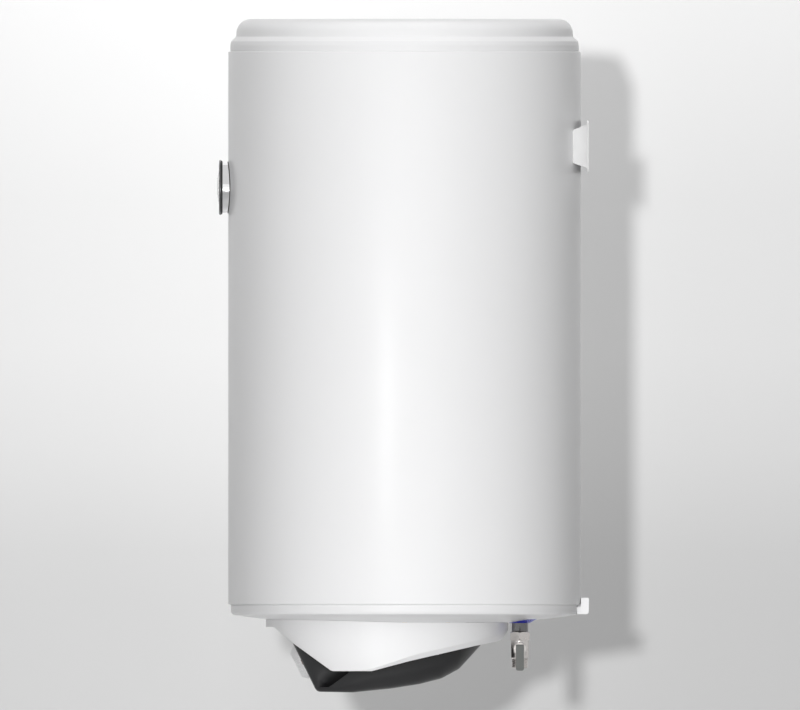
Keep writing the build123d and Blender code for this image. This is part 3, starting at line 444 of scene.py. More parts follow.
finish(
    "magnesium", (0.60, 0.61, 0.63), 0.46, 1.0, grain=(500.0, 3e-5), blotch=0.12, brushed=ALONG_Z,
)
finish(
    "brass_contact", (0.80, 0.60, 0.27), 0.28, 1.0, grain=(900.0, 8e-6), blotch=0.10, brushed=AROUND,
)
finish(
    "copper_tube", (0.76, 0.38, 0.22), 0.28, 1.0, grain=(900.0, 8e-6), blotch=0.14, brushed=ALONG_Z,
)
finish(
    "plated_pipe", (0.27, 0.27, 0.275), 0.20, 1.0, grain=(900.0, 8e-6), blotch=0.06, brushed=AROUND,
)
finish(
    "nickel_brass", (0.66, 0.63, 0.61), 0.24, 1.0, grain=(900.0, 6e-6), blotch=0.05, rough_spread=0.05,
)
finish(
    "lever_grey", (0.10, 0.105, 0.10), 0.44, grain=(2200.0, 1e-5), blotch=0.05,
)
finish(
    "chromed", (0.86, 0.86, 0.87), 0.09, 1.0, grain=(300.0, 4e-6), blotch=0.03, rough_spread=0.04,
)
finish(
    "clear_glass", (0.97, 0.98, 0.98), 0.03, grain=(200.0, 1e-6), ripple=(30.0, 4e-6), blotch=0.01,
    rough_spread=0.02, Transmission_Weight=1.0, IOR=1.5,
)
finish("dial_white", (0.86, 0.86, 0.84), 0.42, grain=(1500.0, 6e-6), blotch=0.015)
finish("needle_paint", (0.62, 0.025, 0.02), 0.30, grain=(1500.0, 6e-6), blotch=0.05)
finish("black_rubber", (0.018, 0.018, 0.018), 0.62, grain=(1500.0, 3e-5), blotch=0.12)

finish(
    "smoked_metal", (0.15, 0.15, 0.155), 0.24, 1.0, grain=(500.0, 5e-6), blotch=0.05, rough_spread=0.05,
)

for part in frame["record"]["subparts"]:
    node = frame["nodes"][part["node"]]
    node.data.materials.clear()
    node.data.materials.append(MATERIALS[part["material_slot"]])


def dress(made, body, slot, *nodes):
    """Settles a piece with its slot's own material."""
    return settle(made, body, slot, MATERIALS[slot], *nodes)


# ---------------------------------------------------------------- casing
SHELL_SEGMENTS = 320
ROLLED_RIM_R = 212.0


def body_cylinder(low, high, radius=SHELL_R):
    """Solid cylinder on the casing's axis, for cutting pieces to its curve."""
    return lathe("cutter", [(0, low), (radius, low), (radius, high), (0, high)], segments=SHELL_SEGMENTS)


def make_shell():
    outline = rounded(
        [
            (SHELL_R, SHELL_BOTTOM, 1.3),
            (SHELL_R, SHELL_TOP, 1.3),
            (ROLLED_RIM_R, SHELL_TOP, 0),
            (ROLLED_RIM_R, SHELL_TOP - SHEET, 0),
            (SHELL_R - SHEET, SHELL_TOP - SHEET, 0.6),
            (SHELL_R - SHEET, SHELL_BOTTOM + SHEET, 0.6),
            (ROLLED_RIM_R, SHELL_BOTTOM + SHEET, 0),
            (ROLLED_RIM_R, SHELL_BOTTOM, 0),
        ]
    )
    shell = lathe("outer_shell_skin", outline, segments=SHELL_SEGMENTS)
    dress(shell, "heater", "white_enamel", "outer_shell")


def make_lid():
    outline = rounded(
        [
            (0, LID_TOP, 0),
            (209.2, LID_TOP, 18),
            (210.2, 137.0, 1.6),
            (216.4, 131.4, 3),
            (217.5, 126.0, 2),
            (217.5, 119.6, 0.5),
            (216.6, SHELL_TOP, 0),
            (SPIGOT_R, SHELL_TOP, 0),
            (SPIGOT_R, SHELL_TOP - 12, 0.8),
            (SPIGOT_R - PLASTIC, SHELL_TOP - 12, 0.8),
            (SPIGOT_R - PLASTIC, SHELL_TOP + PLASTIC, 0),
            (215.0, SHELL_TOP + PLASTIC, 0),
            (215.0, 126.0, 0),
            (207.7, 135.6, 0),
            (206.7, LID_TOP - PLASTIC, 15),
            (0, LID_TOP - PLASTIC, 0),
        ],
        steps=9,
    )
    lid = lathe("top_lid_moulding", outline, segments=SHELL_SEGMENTS, sharp=25)
    dress(lid, "heater", "white_plastic", "top_lid")


CAP_OPENING_R = 130.0
RING_R = (box_mm("cold_ring")[1].x - box_mm("cold_ring")[0].x) / 2
CAP_UNDERSIDE = [(150.0, CAP_BOTTOM), (168.0, -590.6), (184.0, -588.6), (199.0, -586.9), (213.0, -584.6)]


def make_bottom_cap():
    outline = rounded(
        [
            (110.0, CAP_BOTTOM, 0),
            *[(r, z, 0) for r, z in CAP_UNDERSIDE[:-1]],
            (*CAP_UNDERSIDE[-1], 1.6),
            (215.6, -583.4, 1.0),
            (216.6, -581.0, 1.5),
            (216.6, SHELL_BOTTOM - 1.8, 0.6),
            (215.8, SHELL_BOTTOM, 0),
            (SPIGOT_R, SHELL_BOTTOM, 0),
            (SPIGOT_R, SHELL_BOTTOM + 9.2, 0.8),
            (SPIGOT_R - PLASTIC, SHELL_BOTTOM + 9.2, 0.8),
            (SPIGOT_R - PLASTIC, SHELL_BOTTOM - PLASTIC, 0),
            (214.1, SHELL_BOTTOM - PLASTIC, 0),
            (214.1, -580.4, 0),
            (188.4, -586.5, 0),
            (150.0, CAP_BOTTOM + PLASTIC, 0),
            (110.0, CAP_BOTTOM + PLASTIC, 0),
        ],
        steps=7,
    )
    cap = lathe("bottom_cap_moulding", outline, segments=SHELL_SEGMENTS, sharp=25)
    below = placed((0, 0, CAP_BOTTOM - 10), (0, 0, 1), (1, 0, 0))
    cutters = [prism("cutter", circle(CAP_OPENING_R, 120, (0, COVER_Y)), below, 0, 40)]
    for side in (1, -1):
        cutters.append(prism("cutter", circle(RING_R, 64, (side * PIPE_X, PIPE_Y)), below, 0, 40))
    combine(cap, "DIFFERENCE", *cutters, sharp=25)
    dress(cap, "heater", "white_plastic", "bottom_cap")


def section_levels(centre, reach, kinks, low, high, step=3.0):
    """Y levels of a plan outline: evenly spaced in angle round its ends, with the profile's kinks."""
    even = [centre - reach * math.cos(math.radians(step * i)) for i in range(int(180 / step) + 1)]
    wanted = sorted([y for y in even + kinks if low < y < high] + [low, high])
    levels = wanted[:1]
    for y in wanted[1:]:
        if y - levels[-1] > 0.15:
            levels.append(y)
    return levels


def height_on(profile, y):
    """Height of an open (y, z) profile at y."""
    for (y0, z0), (y1, z1) in zip(profile, profile[1:]):
        if y0 <= y <= y1 and y1 > y0:
            return z0 + (z1 - z0) * (y - y0) / (y1 - y0)
    return profile[0][1] if y < profile[0][0] else profile[-1][1]


def ellipse_half(y, centre, half_w, half_d):
    """Half width of an ellipse at y, zero outside it."""
    share = (y - centre) / half_d
    return half_w * math.sqrt(max(0.0, 1 - share * share))


def cap_height(radius):
    """Height of the bottom cap's underside at a radius."""
    for (r0, z0), (r1, z1) in zip(CAP_UNDERSIDE, CAP_UNDERSIDE[1:]):
        if r0 <= radius <= r1:
            return z0 + (z1 - z0) * (radius - r0) / (r1 - r0)
    return CAP_BOTTOM


SCREW_WELL_R = 4.3
PILLARS = [(side * 125.0, COVER_Y + ahead * 58.0) for side in (1, -1) for ahead in (1, -1)]


def make_service_cover():
    profile = rounded(
        [
            (-176, CAP_BOTTOM, 0),
            (-173.6, -599.6, 1.5),
            (-163, -599.8, 0),
            (-138.9, -620.2, 3),
            (-91.0, -654.9, 9),
            (-41, -654.9, 4),
            (6.7, -642.2, 0),
            (90, -623.0, 0),
            (121, -616.6, 9),
            (128.9, -605.0, 8),
            (129.6, CAP_BOTTOM, 0),
        ],
        closed=False,
    )
    profile = [(AXIS_Y + y, z) for y, z in profile]
    kinks = [y for y, _ in profile] + [CONTROL_Y - 124.2 * math.cos(math.radians(6 * i)) for i in range(31)]
    levels = section_levels(COVER_Y, COVER_R, kinks, COVER_Y - COVER_R, COVER_Y + COVER_R)
    inner_steps, corner_steps, wall_steps = 10, 4, 4
    mesh = bmesh.new()
    rows = []
    for y in levels:
        edge = ellipse_half(y, COVER_Y, COVER_R, COVER_R)
        hole = min(ellipse_half(y, CONTROL_Y, CONTROL_HALF_W + 0.6, CONTROL_HALF_D + 0.6), edge)
        low = min(height_on(profile, y), CAP_BOTTOM - 0.01)
        wall = CAP_BOTTOM - low
        band = 1.3 + 6.2 * min(1.0, max(0.0, (y - AXIS_Y + 64) / 83))
        band = min(band, 0.8 * wall, edge - hole)
        flat = [(hole + (edge - band - hole) * i / inner_steps, low) for i in range(inner_steps + 1)]
        if band > 2.5:
            soft = 0.15 * band
            turn = [
                (edge - band + soft, low + 0.35 * soft),
                (edge - 0.35 * soft, low + band - soft),
            ]
        else:
            spin = [math.radians(90 * (i + 1) / (corner_steps - 1)) for i in range(corner_steps - 2)]
            turn = [(edge - band + band * math.sin(a), low + band - band * math.cos(a)) for a in spin]
        rim = cap_height(math.hypot(edge, y - AXIS_Y)) - 0.15
        side = [(edge, low + band + (rim - low - band) * i / wall_steps) for i in range(wall_steps + 1)]
        rows.append([(x, y, z) for x, z in flat + turn + side])
    for mirrored in (1, -1):
        grid = [[mesh.verts.new((mirrored * x, y, z)) for x, y, z in row] for row in rows]
        bridge(mesh, grid, wrap_points=False)
    cover = piece("service_cover_moulding", mesh, sharp=18)
    shell = cover.modifiers.new("wall", "SOLIDIFY")
    shell.thickness = 2.2 * MM
    shell.offset = -1
    apply_modifiers(cover, sharp=18)
    below = placed((0, 0, -670.0), (0, 0, 1), (1, 0, 0))
    cutters = [prism("cutter", circle(SCREW_WELL_R, 32, spot), below, 0, 60) for spot in PILLARS]
    combine(cover, "DIFFERENCE", *cutters, sharp=18)
    dress(cover, "heater", "white_plastic", "service_cover")
    for number, (x, y) in enumerate(PILLARS, 1):
        low, top, floor = height_on(profile, y) + 1.0, CAP_BOTTOM - 0.2, CAP_BOTTOM - 3.0
        tube = [(SCREW_WELL_R, low), (6.5, low), (6.5, top), (2.0, top), (2.0, floor), (SCREW_WELL_R, floor)]
        pillar = lathe(f"screw_pillar_{number}", tube, upright_at(x, y), 48)
        dress(pillar, "heater", "white_plastic", "service_cover")


FASCIA_TOP = Vector((0, AXIS_Y - 145.3, CONTROL_TOP))
FASCIA_DOWN = Vector((0, 0.442, -0.897)).normalized()
FASCIA_OUT = Vector((0, -0.897, -0.442)).normalized()
KNOB_POINT = FASCIA_TOP + FASCIA_DOWN * 39.7
LENS_ACROSS = 33.0
SCOOP_DEPTH = 24.0
CREASE_FOOT = (-93.0, -673.8)
CREASE_HEAD = (-69.0, -656.6)


def scoop(y, z):
    """How far the side wall sinks between the fascia's edge and the crease behind it."""
    rise = (CREASE_HEAD[1] - CREASE_FOOT[1]) / (CREASE_HEAD[0] - CREASE_FOOT[0])
    crease = min(CREASE_HEAD[0], CREASE_FOOT[0] + (z - CREASE_FOOT[1]) / rise)
    front = FASCIA_TOP.y - AXIS_Y + (CONTROL_TOP - z) * 0.4928 + 6.0
    share = (y - front) / max(1.0, crease - front)
    return SCOOP_DEPTH * max(0.0, share) ** 1.15 if share <= 1.0 else 0.0


def make_control_cover():
    profile = rounded(
        [
            (-145.3, CONTROL_TOP, 0),
            (-109.7, -680.6, 7.5),
            (-64, -681.4, 40),
            (-18, -676.7, 60),
            (19, -670.9, 60),
            (46, -664.0, 30),
            (68, -652.0, 20),
            (94.6, -623.0, 0),
        ],
        closed=False,
    )
    kinks = [AXIS_Y + y for y, _ in profile]
    kinks += [AXIS_Y + CREASE_FOOT[0] + i * 2.0 for i in range(-10, 12)]
    kinks += [AXIS_Y + CREASE_HEAD[0] - 0.1, AXIS_Y + CREASE_HEAD[0] + 0.1]
    profile = [(AXIS_Y + y, z) for y, z in profile]
    low_y, high_y = profile[0][0], profile[-1][0]
    levels = section_levels(CONTROL_Y, CONTROL_HALF_D, kinks, low_y, high_y, step=3.0)
    flat_steps, corner_steps, wall_steps = 12, 8, 12
    mesh = bmesh.new()
    rows = []
    for y in levels:
        rel = y - AXIS_Y
        edge = ellipse_half(y, CONTROL_Y, CONTROL_HALF_W, CONTROL_HALF_D)
        low = min(height_on(profile, y), CONTROL_TOP - 0.01)
        wall = CONTROL_TOP - low
        ease = min(1.0, max(0.0, (rel + 93) / 60))
        turn_r = min(5.5 + 13.0 * ease * ease * (3 - 2 * ease), 0.7 * wall, 0.7 * edge)
        flat = [((edge - turn_r) * i / flat_steps, low) for i in range(flat_steps)]
        spins = [math.radians(90 * i / corner_steps) for i in range(corner_steps + 1)]
        turn = [(edge - turn_r + turn_r * math.sin(a), low + turn_r - turn_r * math.cos(a)) for a in spins]
        split = CREASE_FOOT[1] + (min(rel, CREASE_HEAD[0]) - CREASE_FOOT[0]) * 0.7167
        split = min(max(split, low + turn_r + 0.4), CONTROL_TOP - 0.5)
        under = [(edge, low + turn_r + (split - 0.1 - low - turn_r) * i / 3) for i in range(1, 4)]
        rise = CONTROL_TOP - split - 0.1
        over = [(edge, split + 0.1 + rise * i / wall_steps) for i in range(wall_steps + 1)]
        row = [(x, y, z) for x, z in flat + turn + under]
        row += [(max(0.2, x - scoop(rel, z)), y, z) for x, z in over]
        rows.append(row)
    for mirrored in (1, -1):
        grid = [[mesh.verts.new((mirrored * x, y, z)) for x, y, z in row] for row in rows]
        bridge(mesh, grid, wrap_points=False)
        end_corners = [(mirrored * x, y, z) for x, y, z in rows[-1]] + [(0, high_y, CONTROL_TOP)]
        mesh.faces.new([mesh.verts.new(corner) for corner in end_corners])
    cover = piece("control_cover_moulding", mesh, sharp=28)
    shell = cover.modifiers.new("wall", "SOLIDIFY")
    shell.thickness = 2.2 * MM
    shell.offset = -1
    apply_modifiers(cover, sharp=28)
    knob_hole = placed(KNOB_POINT, FASCIA_OUT, (1, 0, 0))
    cutters = [
        prism("cutter", circle(4.0), knob_hole, -8, 4),
        prism("cutter", circle(3.55, centre=(LENS_ACROSS, 0.0)), knob_hole, -8, 4),
    ]
    combine(cover, "DIFFERENCE", *cutters, sharp=28)
    dress(cover, "heater", "charcoal_plastic", "control_cover")


make_shell()
make_lid()
make_bottom_cap()
make_service_cover()
make_control_cover()


# ---------------------------------------------------------------- wall fixings
def make_wall_bracket():
    wall = placed((0, 0, 0), (0, -1, 0), (1, 0, 0))
    plate_outline = rounded([(98, 32.6, 5), (-98, 32.6, 5), (-98, -32.6, 5), (98, -32.6, 5)])
    bracket = prism("wall_bracket_pressing", plate_outline, wall, 0, 2.0)
    slots = []
    for side in (1, -1):
        slot = rounded([(10, 6, 5.99), (-10, 6, 5.99), (-10, -6, 5.99), (10, -6, 5.99)], steps=10)
        slots.append(prism("cutter", [(u + side * 80.0, v) for u, v in slot], wall, -1, 4))
    combine(bracket, "DIFFERENCE", *slots)
    cheek_outline = rounded(
        [
            (-1.0, 27.3, 0),
            (-9.5, 24.6, 12),
            (-21.5, 20.0, 5),
            (-21.5, -20.0, 5),
            (-9.5, -24.6, 12),
            (-1.0, -27.3, 0),
        ]
    )
    shell_face = body_cylinder(-60, 60, SHELL_R - 0.05)
    cheeks = []
    for side in (1, -1):
        plane = placed((side * 63.0, 0, 0), (side, 0, 0), (0, 1, 0))
        outline = [(y, side * z) for y, z in cheek_outline]
        cheeks.append(prism("cheek", outline, plane, 0, 2.0))
    combine(bracket, "UNION", *cheeks)
    combine(bracket, "DIFFERENCE", shell_face)
    soften(bracket, 0.45)
    dress(bracket, "heater", "white_bracket", "wall_bracket")


def make_lower_spacer():
    side = placed((-25.0, 0, 0), (1, 0, 0), (0, 1, 0))
    outline = rounded(
        [
            (0, -563.2, 2),
            (-9.9, -563.2, 2),
            (-9.9, -574.3, 0),
            (-14.6, -574.3, 0.6),
            (-14.6, -583.7, 1.5),
            (0, -583.7, 3),
        ]
    )
    spacer = prism("lower_spacer_moulding", outline, side, 0, 50.0)
    casing = body_cylinder(SHELL_BOTTOM, -550)
    cap = body_cylinder(-590, SHELL_BOTTOM + 0.2, 216.6)
    combine(spacer, "DIFFERENCE", casing, cap)
    soften(spacer, 0.4)
    dress(spacer, "heater", "white_plastic", "lower_spacer")


make_wall_bracket()
make_lower_spacer()


# ---------------------------------------------------------------- thermostat knob
def make_knob():
    place = placed(KNOB_POINT, FASCIA_OUT, (1, 0, 0))
    skirt_r, face_r, base, top = 21.35, 16.4, 0.5, 8.5
    outline = rounded(
        [
            (0, base, 0),
            (skirt_r, base, 0),
            (skirt_r, 2.7, 0.5),
            (face_r + 0.6, top - 0.5, 0.6),
            (face_r, top, 0.5),
            (face_r - 1.6, top, 0.3),
            (face_r - 2.4, top - 0.8, 0.4),
            (0, top - 0.8, 0),
        ],
        steps=4,
    )
    ribs = 40

    def ripple(angle, radius, height):
        if height > top - 0.4 or radius < face_r:
            return 0.0
        return -0.9 * max(0.0, math.cos(ribs * angle)) ** 0.6

    knob = lathe("thermostat_knob_cap", outline, place, ribs * 12, ripple, sharp=40)
    dress(knob, "knob", "knob_plastic", "thermostat_knob")
    grip_outline = rounded([(-14.5, -2.6, 2.4), (14.5, -2.6, 2.4), (14.5, 2.6, 2.4), (-14.5, 2.6, 2.4)])
    turned = place @ Matrix.Rotation(math.radians(-45), 4, "Z")
    grip = prism("knob_grip_bar", grip_outline, turned, top - 1.6, top - 0.05, bevel=0.7)
    dress(grip, "knob", "knob_plastic", "thermostat_knob")
    mark_outline = [(6.5, -0.6), (13.5, -0.6), (13.5, 0.6), (6.5, 0.6)]
    mark = prism("knob_pointer_mark", mark_outline, turned, top - 0.2, top)
    dress(mark, "knob", "charcoal_plastic", "thermostat_knob")


def make_fascia_scale():
    """Printed scale round the knob: ticks that grow from low to high."""
    place = placed(KNOB_POINT, FASCIA_OUT, (1, 0, 0))
    mesh = bmesh.new()
    count, tick_r = 10, 23.0
    for i in range(count):
        angle = math.radians(225 - 270 * i / (count - 1))
        length = 1.2 + 1.4 * i / (count - 1)
        spoke = Vector((math.cos(angle), math.sin(angle), 0))
        across = Vector((-spoke.y, spoke.x, 0)) * 0.45
        near, far = spoke * tick_r, spoke * (tick_r + length)
        corners = [near - across, far - across, far + across, near + across]
        rings = []
        for level in (-0.02, 0.06):
            lift = Vector((0, 0, level))
            rings.append([mesh.verts.new(place @ (corner + lift)) for corner in corners])
        bridge(mesh, rings)
        mesh.faces.new(rings[0])
        mesh.faces.new(rings[1])
    dress(piece("fascia_scale_print", mesh), "heater", "dial_white")


make_knob()
make_fascia_scale()


# ---------------------------------------------------------------- thermometer
GAUGE = placed((0, AXIS_Y, GAUGE_Z), (0, -1, 0), (1, 0, 0))
SCALE_START, SCALE_SWEEP = 210.0, 240.0


def make_gauge_case():
    drum_r, drum_face, bezel_r = 31.5, 227.4, 34.5
    drum = lathe(
        "thermometer_drum",
        rounded(
            [
                (0, 214.0, 0),
                (drum_r, 214.0, 0),
                (drum_r, drum_face, 0.3),
                (drum_r - 1.5, drum_face, 0.3),
                (drum_r - 1.5, 222.5, 0),
                (0, 222.5, 0),
            ]
        ),
        GAUGE,
        160,
    )
    below, above = GAUGE_Z - 50, GAUGE_Z + 50
    combine(drum, "DIFFERENCE", body_cylinder(below, above))
    dress(drum, "heater", "chromed", "thermometer_housing")
    # Black rubber band round the drum's foot: partly a seal, partly painted shadow, dark to stand for the
    # contact shadow where the drum meets the casing.
    gasket_shadow_r, gasket_shadow_top = drum_r + 0.7, SHELL_R + 1.0
    band = [(drum_r, 210), (gasket_shadow_r, 210), (gasket_shadow_r, 222), (drum_r, 222)]
    gasket_and_shadow = lathe("thermometer_gasket_and_shadow", band, GAUGE, 160)
    near_body = [(SHELL_R, below), (gasket_shadow_top, below), (gasket_shadow_top, above), (SHELL_R, above)]
    combine(gasket_and_shadow, "INTERSECT", lathe("cutter", near_body, segments=SHELL_SEGMENTS))
    dress(gasket_and_shadow, "heater", "black_rubber", "thermometer_housing")
    seat_low, seat_top = drum_face + 0.02, 228.9
    seat = lathe(
        "thermometer_bezel_seat",
        rounded([(30.2, seat_low, 0), (33.4, seat_low, 0.3), (33.6, seat_top, 0.2), (30.2, seat_top, 0)]),
        GAUGE,
        160,
    )
    dress(seat, "heater", "black_rubber", "thermometer_bezel")
    ring = rounded(
        [
            (30.0, seat_top, 0),
            (bezel_r - 0.2, seat_top, 0.3),
            (bezel_r, 229.6, 0.4),
            (bezel_r, 230.5, 0.7),
            (33.4, 231.5, 0.8),
            (31.6, 231.5, 0.6),
            (29.2, 230.6, 0.3),
            (29.2, 229.8, 0),
            (30.0, 229.8, 0),
        ]
    )
    bezel = lathe("thermometer_bezel_ring", ring, GAUGE, 160)
    settle(bezel, "heater", "chromed", MATERIALS["smoked_metal"], "thermometer_bezel")
    crown_r, crown_top, thick, rim_r = 92.0, 234.2, 1.4, 28.8
    rim = math.asin(rim_r / crown_r)
    centre = crown_top - crown_r
    steps = 14
    turns = [rim * i / steps for i in range(steps + 1)]
    outer = [(crown_r * math.sin(turn), centre + crown_r * math.cos(turn)) for turn in turns]
    inner_r = crown_r - thick
    inner = [(inner_r * math.sin(turn), centre + inner_r * math.cos(turn)) for turn in turns]
    lip = (rim_r + 0.35, outer[-1][1] - 0.4)
    glass = lathe("thermometer_glass_dome", outer + [lip] + inner[::-1], GAUGE, 160)
    dress(glass, "heater", "clear_glass", "thermometer_glass")


def dial_strip(mesh, inner_r, outer_r, start, end, level, steps):
    """Flat arc band on the dial between two angles, in degrees."""
    rows = []
    for i in range(steps + 1):
        angle = math.radians(start + (end - start) * i / steps)
        ends = [Vector((r * math.cos(angle), r * math.sin(angle), level)) for r in (inner_r, outer_r)]
        rows.append([mesh.verts.new(GAUGE @ end_point) for end_point in ends])
    bridge(mesh, rows, wrap_points=False)


def make_dial():
    face = DIAL_FACE
    outline = rounded([(1.05, face - 0.8, 0), (29.9, face - 0.8, 0), (29.9, face, 0.2), (1.05, face, 0)])
    dial = lathe("thermometer_dial_plate", outline, GAUGE, 160)
    dress(dial, "heater", "dial_white", "thermometer_dial")
    marks = bmesh.new()
    divisions = 40
    for i in range(divisions + 1):
        middle = SCALE_START - SCALE_SWEEP * i / divisions
        major = i % 5 == 0
        half = 0.9 if major else 0.4
        dial_strip(marks, 22.6 if major else 24.0, 26.0, middle - half, middle + half, face + 0.03, 2)
    dial_strip(marks, 25.9, 26.3, SCALE_START, SCALE_START - SCALE_SWEEP, face + 0.035, 96)
    ticks = piece("dial_scale_print", marks)
    dress(ticks, "heater", "dark_plastic")
    for name, slot, start, share in (
        ("dial_cool_band", "blue_plastic", 0.0, 0.4),
        ("dial_hot_band", "red_plastic", 0.7, 0.3),
    ):
        band = bmesh.new()
        first = SCALE_START - SCALE_SWEEP * start
        dial_strip(band, 26.8, 28.2, first, first - SCALE_SWEEP * share, face + 0.03, 48)
        dress(piece(name, band), "heater", slot)
    for number in range(0, 5):
        angle = math.radians(SCALE_START - SCALE_SWEEP * number / 4)
        text = bpy.data.curves.new("digits", "FONT")
        text.body = str(number * 20)
        text.size = 5.2
        text.align_x = "CENTER"
        text.align_y = "CENTER"
        label = bpy.data.objects.new("digits", text)
        bpy.context.scene.collection.objects.link(label)
        bpy.context.view_layer.update()
        data = bpy.data.meshes.new_from_object(label.evaluated_get(bpy.context.evaluated_depsgraph_get()))
        bpy.data.objects.remove(label)
        spot = Vector((18.0 * math.cos(angle), 18.0 * math.sin(angle), face + 0.04))
        data.transform(Matrix.Scale(MM, 4) @ GAUGE @ Matrix.Translation(spot))
        digits = bpy.data.objects.new(f"dial_number_{number * 20}", data)
        bpy.context.scene.collection.objects.link(digits)
        dress(digits, "heater", "dark_plastic")


def make_needle():
    face = DIAL_FACE
    turned = GAUGE @ Matrix.Rotation(math.radians(SCALE_START), 4, "Z")
    half = [(23.0, 0.25), (0, 1.3), (-6.0, 1.5), (-8, 2.2)]
    outline = half + [(u, -v) for u, v in reversed(half)]
    needle = prism("thermometer_pointer", outline, turned, face + 0.65, face + 1.15, bevel=0.12)
    dress(needle, "needle", "needle_paint", "thermometer_needle")
    cap = [(0, 0.6, 0), (3.0, 0.6, 0), (3.0, 1.5, 0.4), (2.2, 1.75, 0.3), (0, 1.8, 0)]
    cap_outline = rounded([(radius, face + height, corner) for radius, height, corner in cap])
    hub = lathe("thermometer_hub_cap", cap_outline, GAUGE, 48)
    dress(hub, "needle", "dark_plastic", "thermometer_needle")


make_gauge_case()
make_dial()
make_needle()


# ---------------------------------------------------------------- water connections
VALVE_SOCKET, VALVE_NECK, VALVE_THREAD, VALVE_END = -606.0, -616.5, -639.6, -651.0
VALVE_R = 11.25
CHECK_SEAT = -644.0
RELIEF_Z = -627.0
BOSS_R = 8.4
BOSS_END = PIPE_X + 26.0
BONNET_END = BOSS_END + 3.0
LEVER_PIVOT = BONNET_END + 4.6
SPOUT_X = PIPE_X + 21.0
SPOUT_R, SPOUT_END = 4.0, -650.0
COLLAR_R, COLLAR_END = 5.0, -637.0


def make_rings():
    """Ring flush with the cap's slope, with a cone that narrows towards the pipe."""
    foot, brim_low, brim = CAP_BOTTOM - 0.8, -589.4, -588.9
    cone = [(0, foot), (12.5, foot), (RING_R - 0.1, brim_low), (RING_R - 0.1, brim), (0, brim)]
    inside = CAP_BOTTOM + PLASTIC
    slab = [(120.0, CAP_BOTTOM), *CAP_UNDERSIDE, (213.0, -582.0), (150.0, inside), (120.0, inside)]
    for name, side, slot in (("cold_ring", 1, "blue_plastic"), ("hot_ring", -1, "red_plastic")):
        x = side * PIPE_X
        level = upright_at(0, 0)
        ring = prism(f"{name}_disc", circle(RING_R - 0.02, 96, (x, PIPE_Y)), level, -600, -580)
        combine(ring, "INTERSECT", lathe("cutter", slab, segments=SHELL_SEGMENTS))
        combine(ring, "UNION", lathe("cone", cone, upright_at(x, PIPE_Y), 96))
        bore = prism("cutter", circle(PIPE_R + 0.1, 72, (x, PIPE_Y)), level, -610, -570)
        combine(ring, "DIFFERENCE", bore)
        soften(ring, 0.2, 2)
        dress(ring, "heater", slot, name)


def make_pipes():
    for name, side, thread_top in (
        ("cold_inlet_pipe", 1, -607.5),
        ("hot_outlet_pipe", -1, -598.1),
    ):
        place = upright_at(side * PIPE_X, PIPE_Y)
        low, top = (corner.z for corner in box_mm(name))
        pipe = threaded_tube(f"{name}_threaded", PIPE_R, PIPE_BORE_R, low, thread_top, place,
                             beyond=[(PIPE_R - 0.18, thread_top + 0.6), (PIPE_R - 0.18, top)])
        dress(pipe, "heater", "plated_pipe", name)


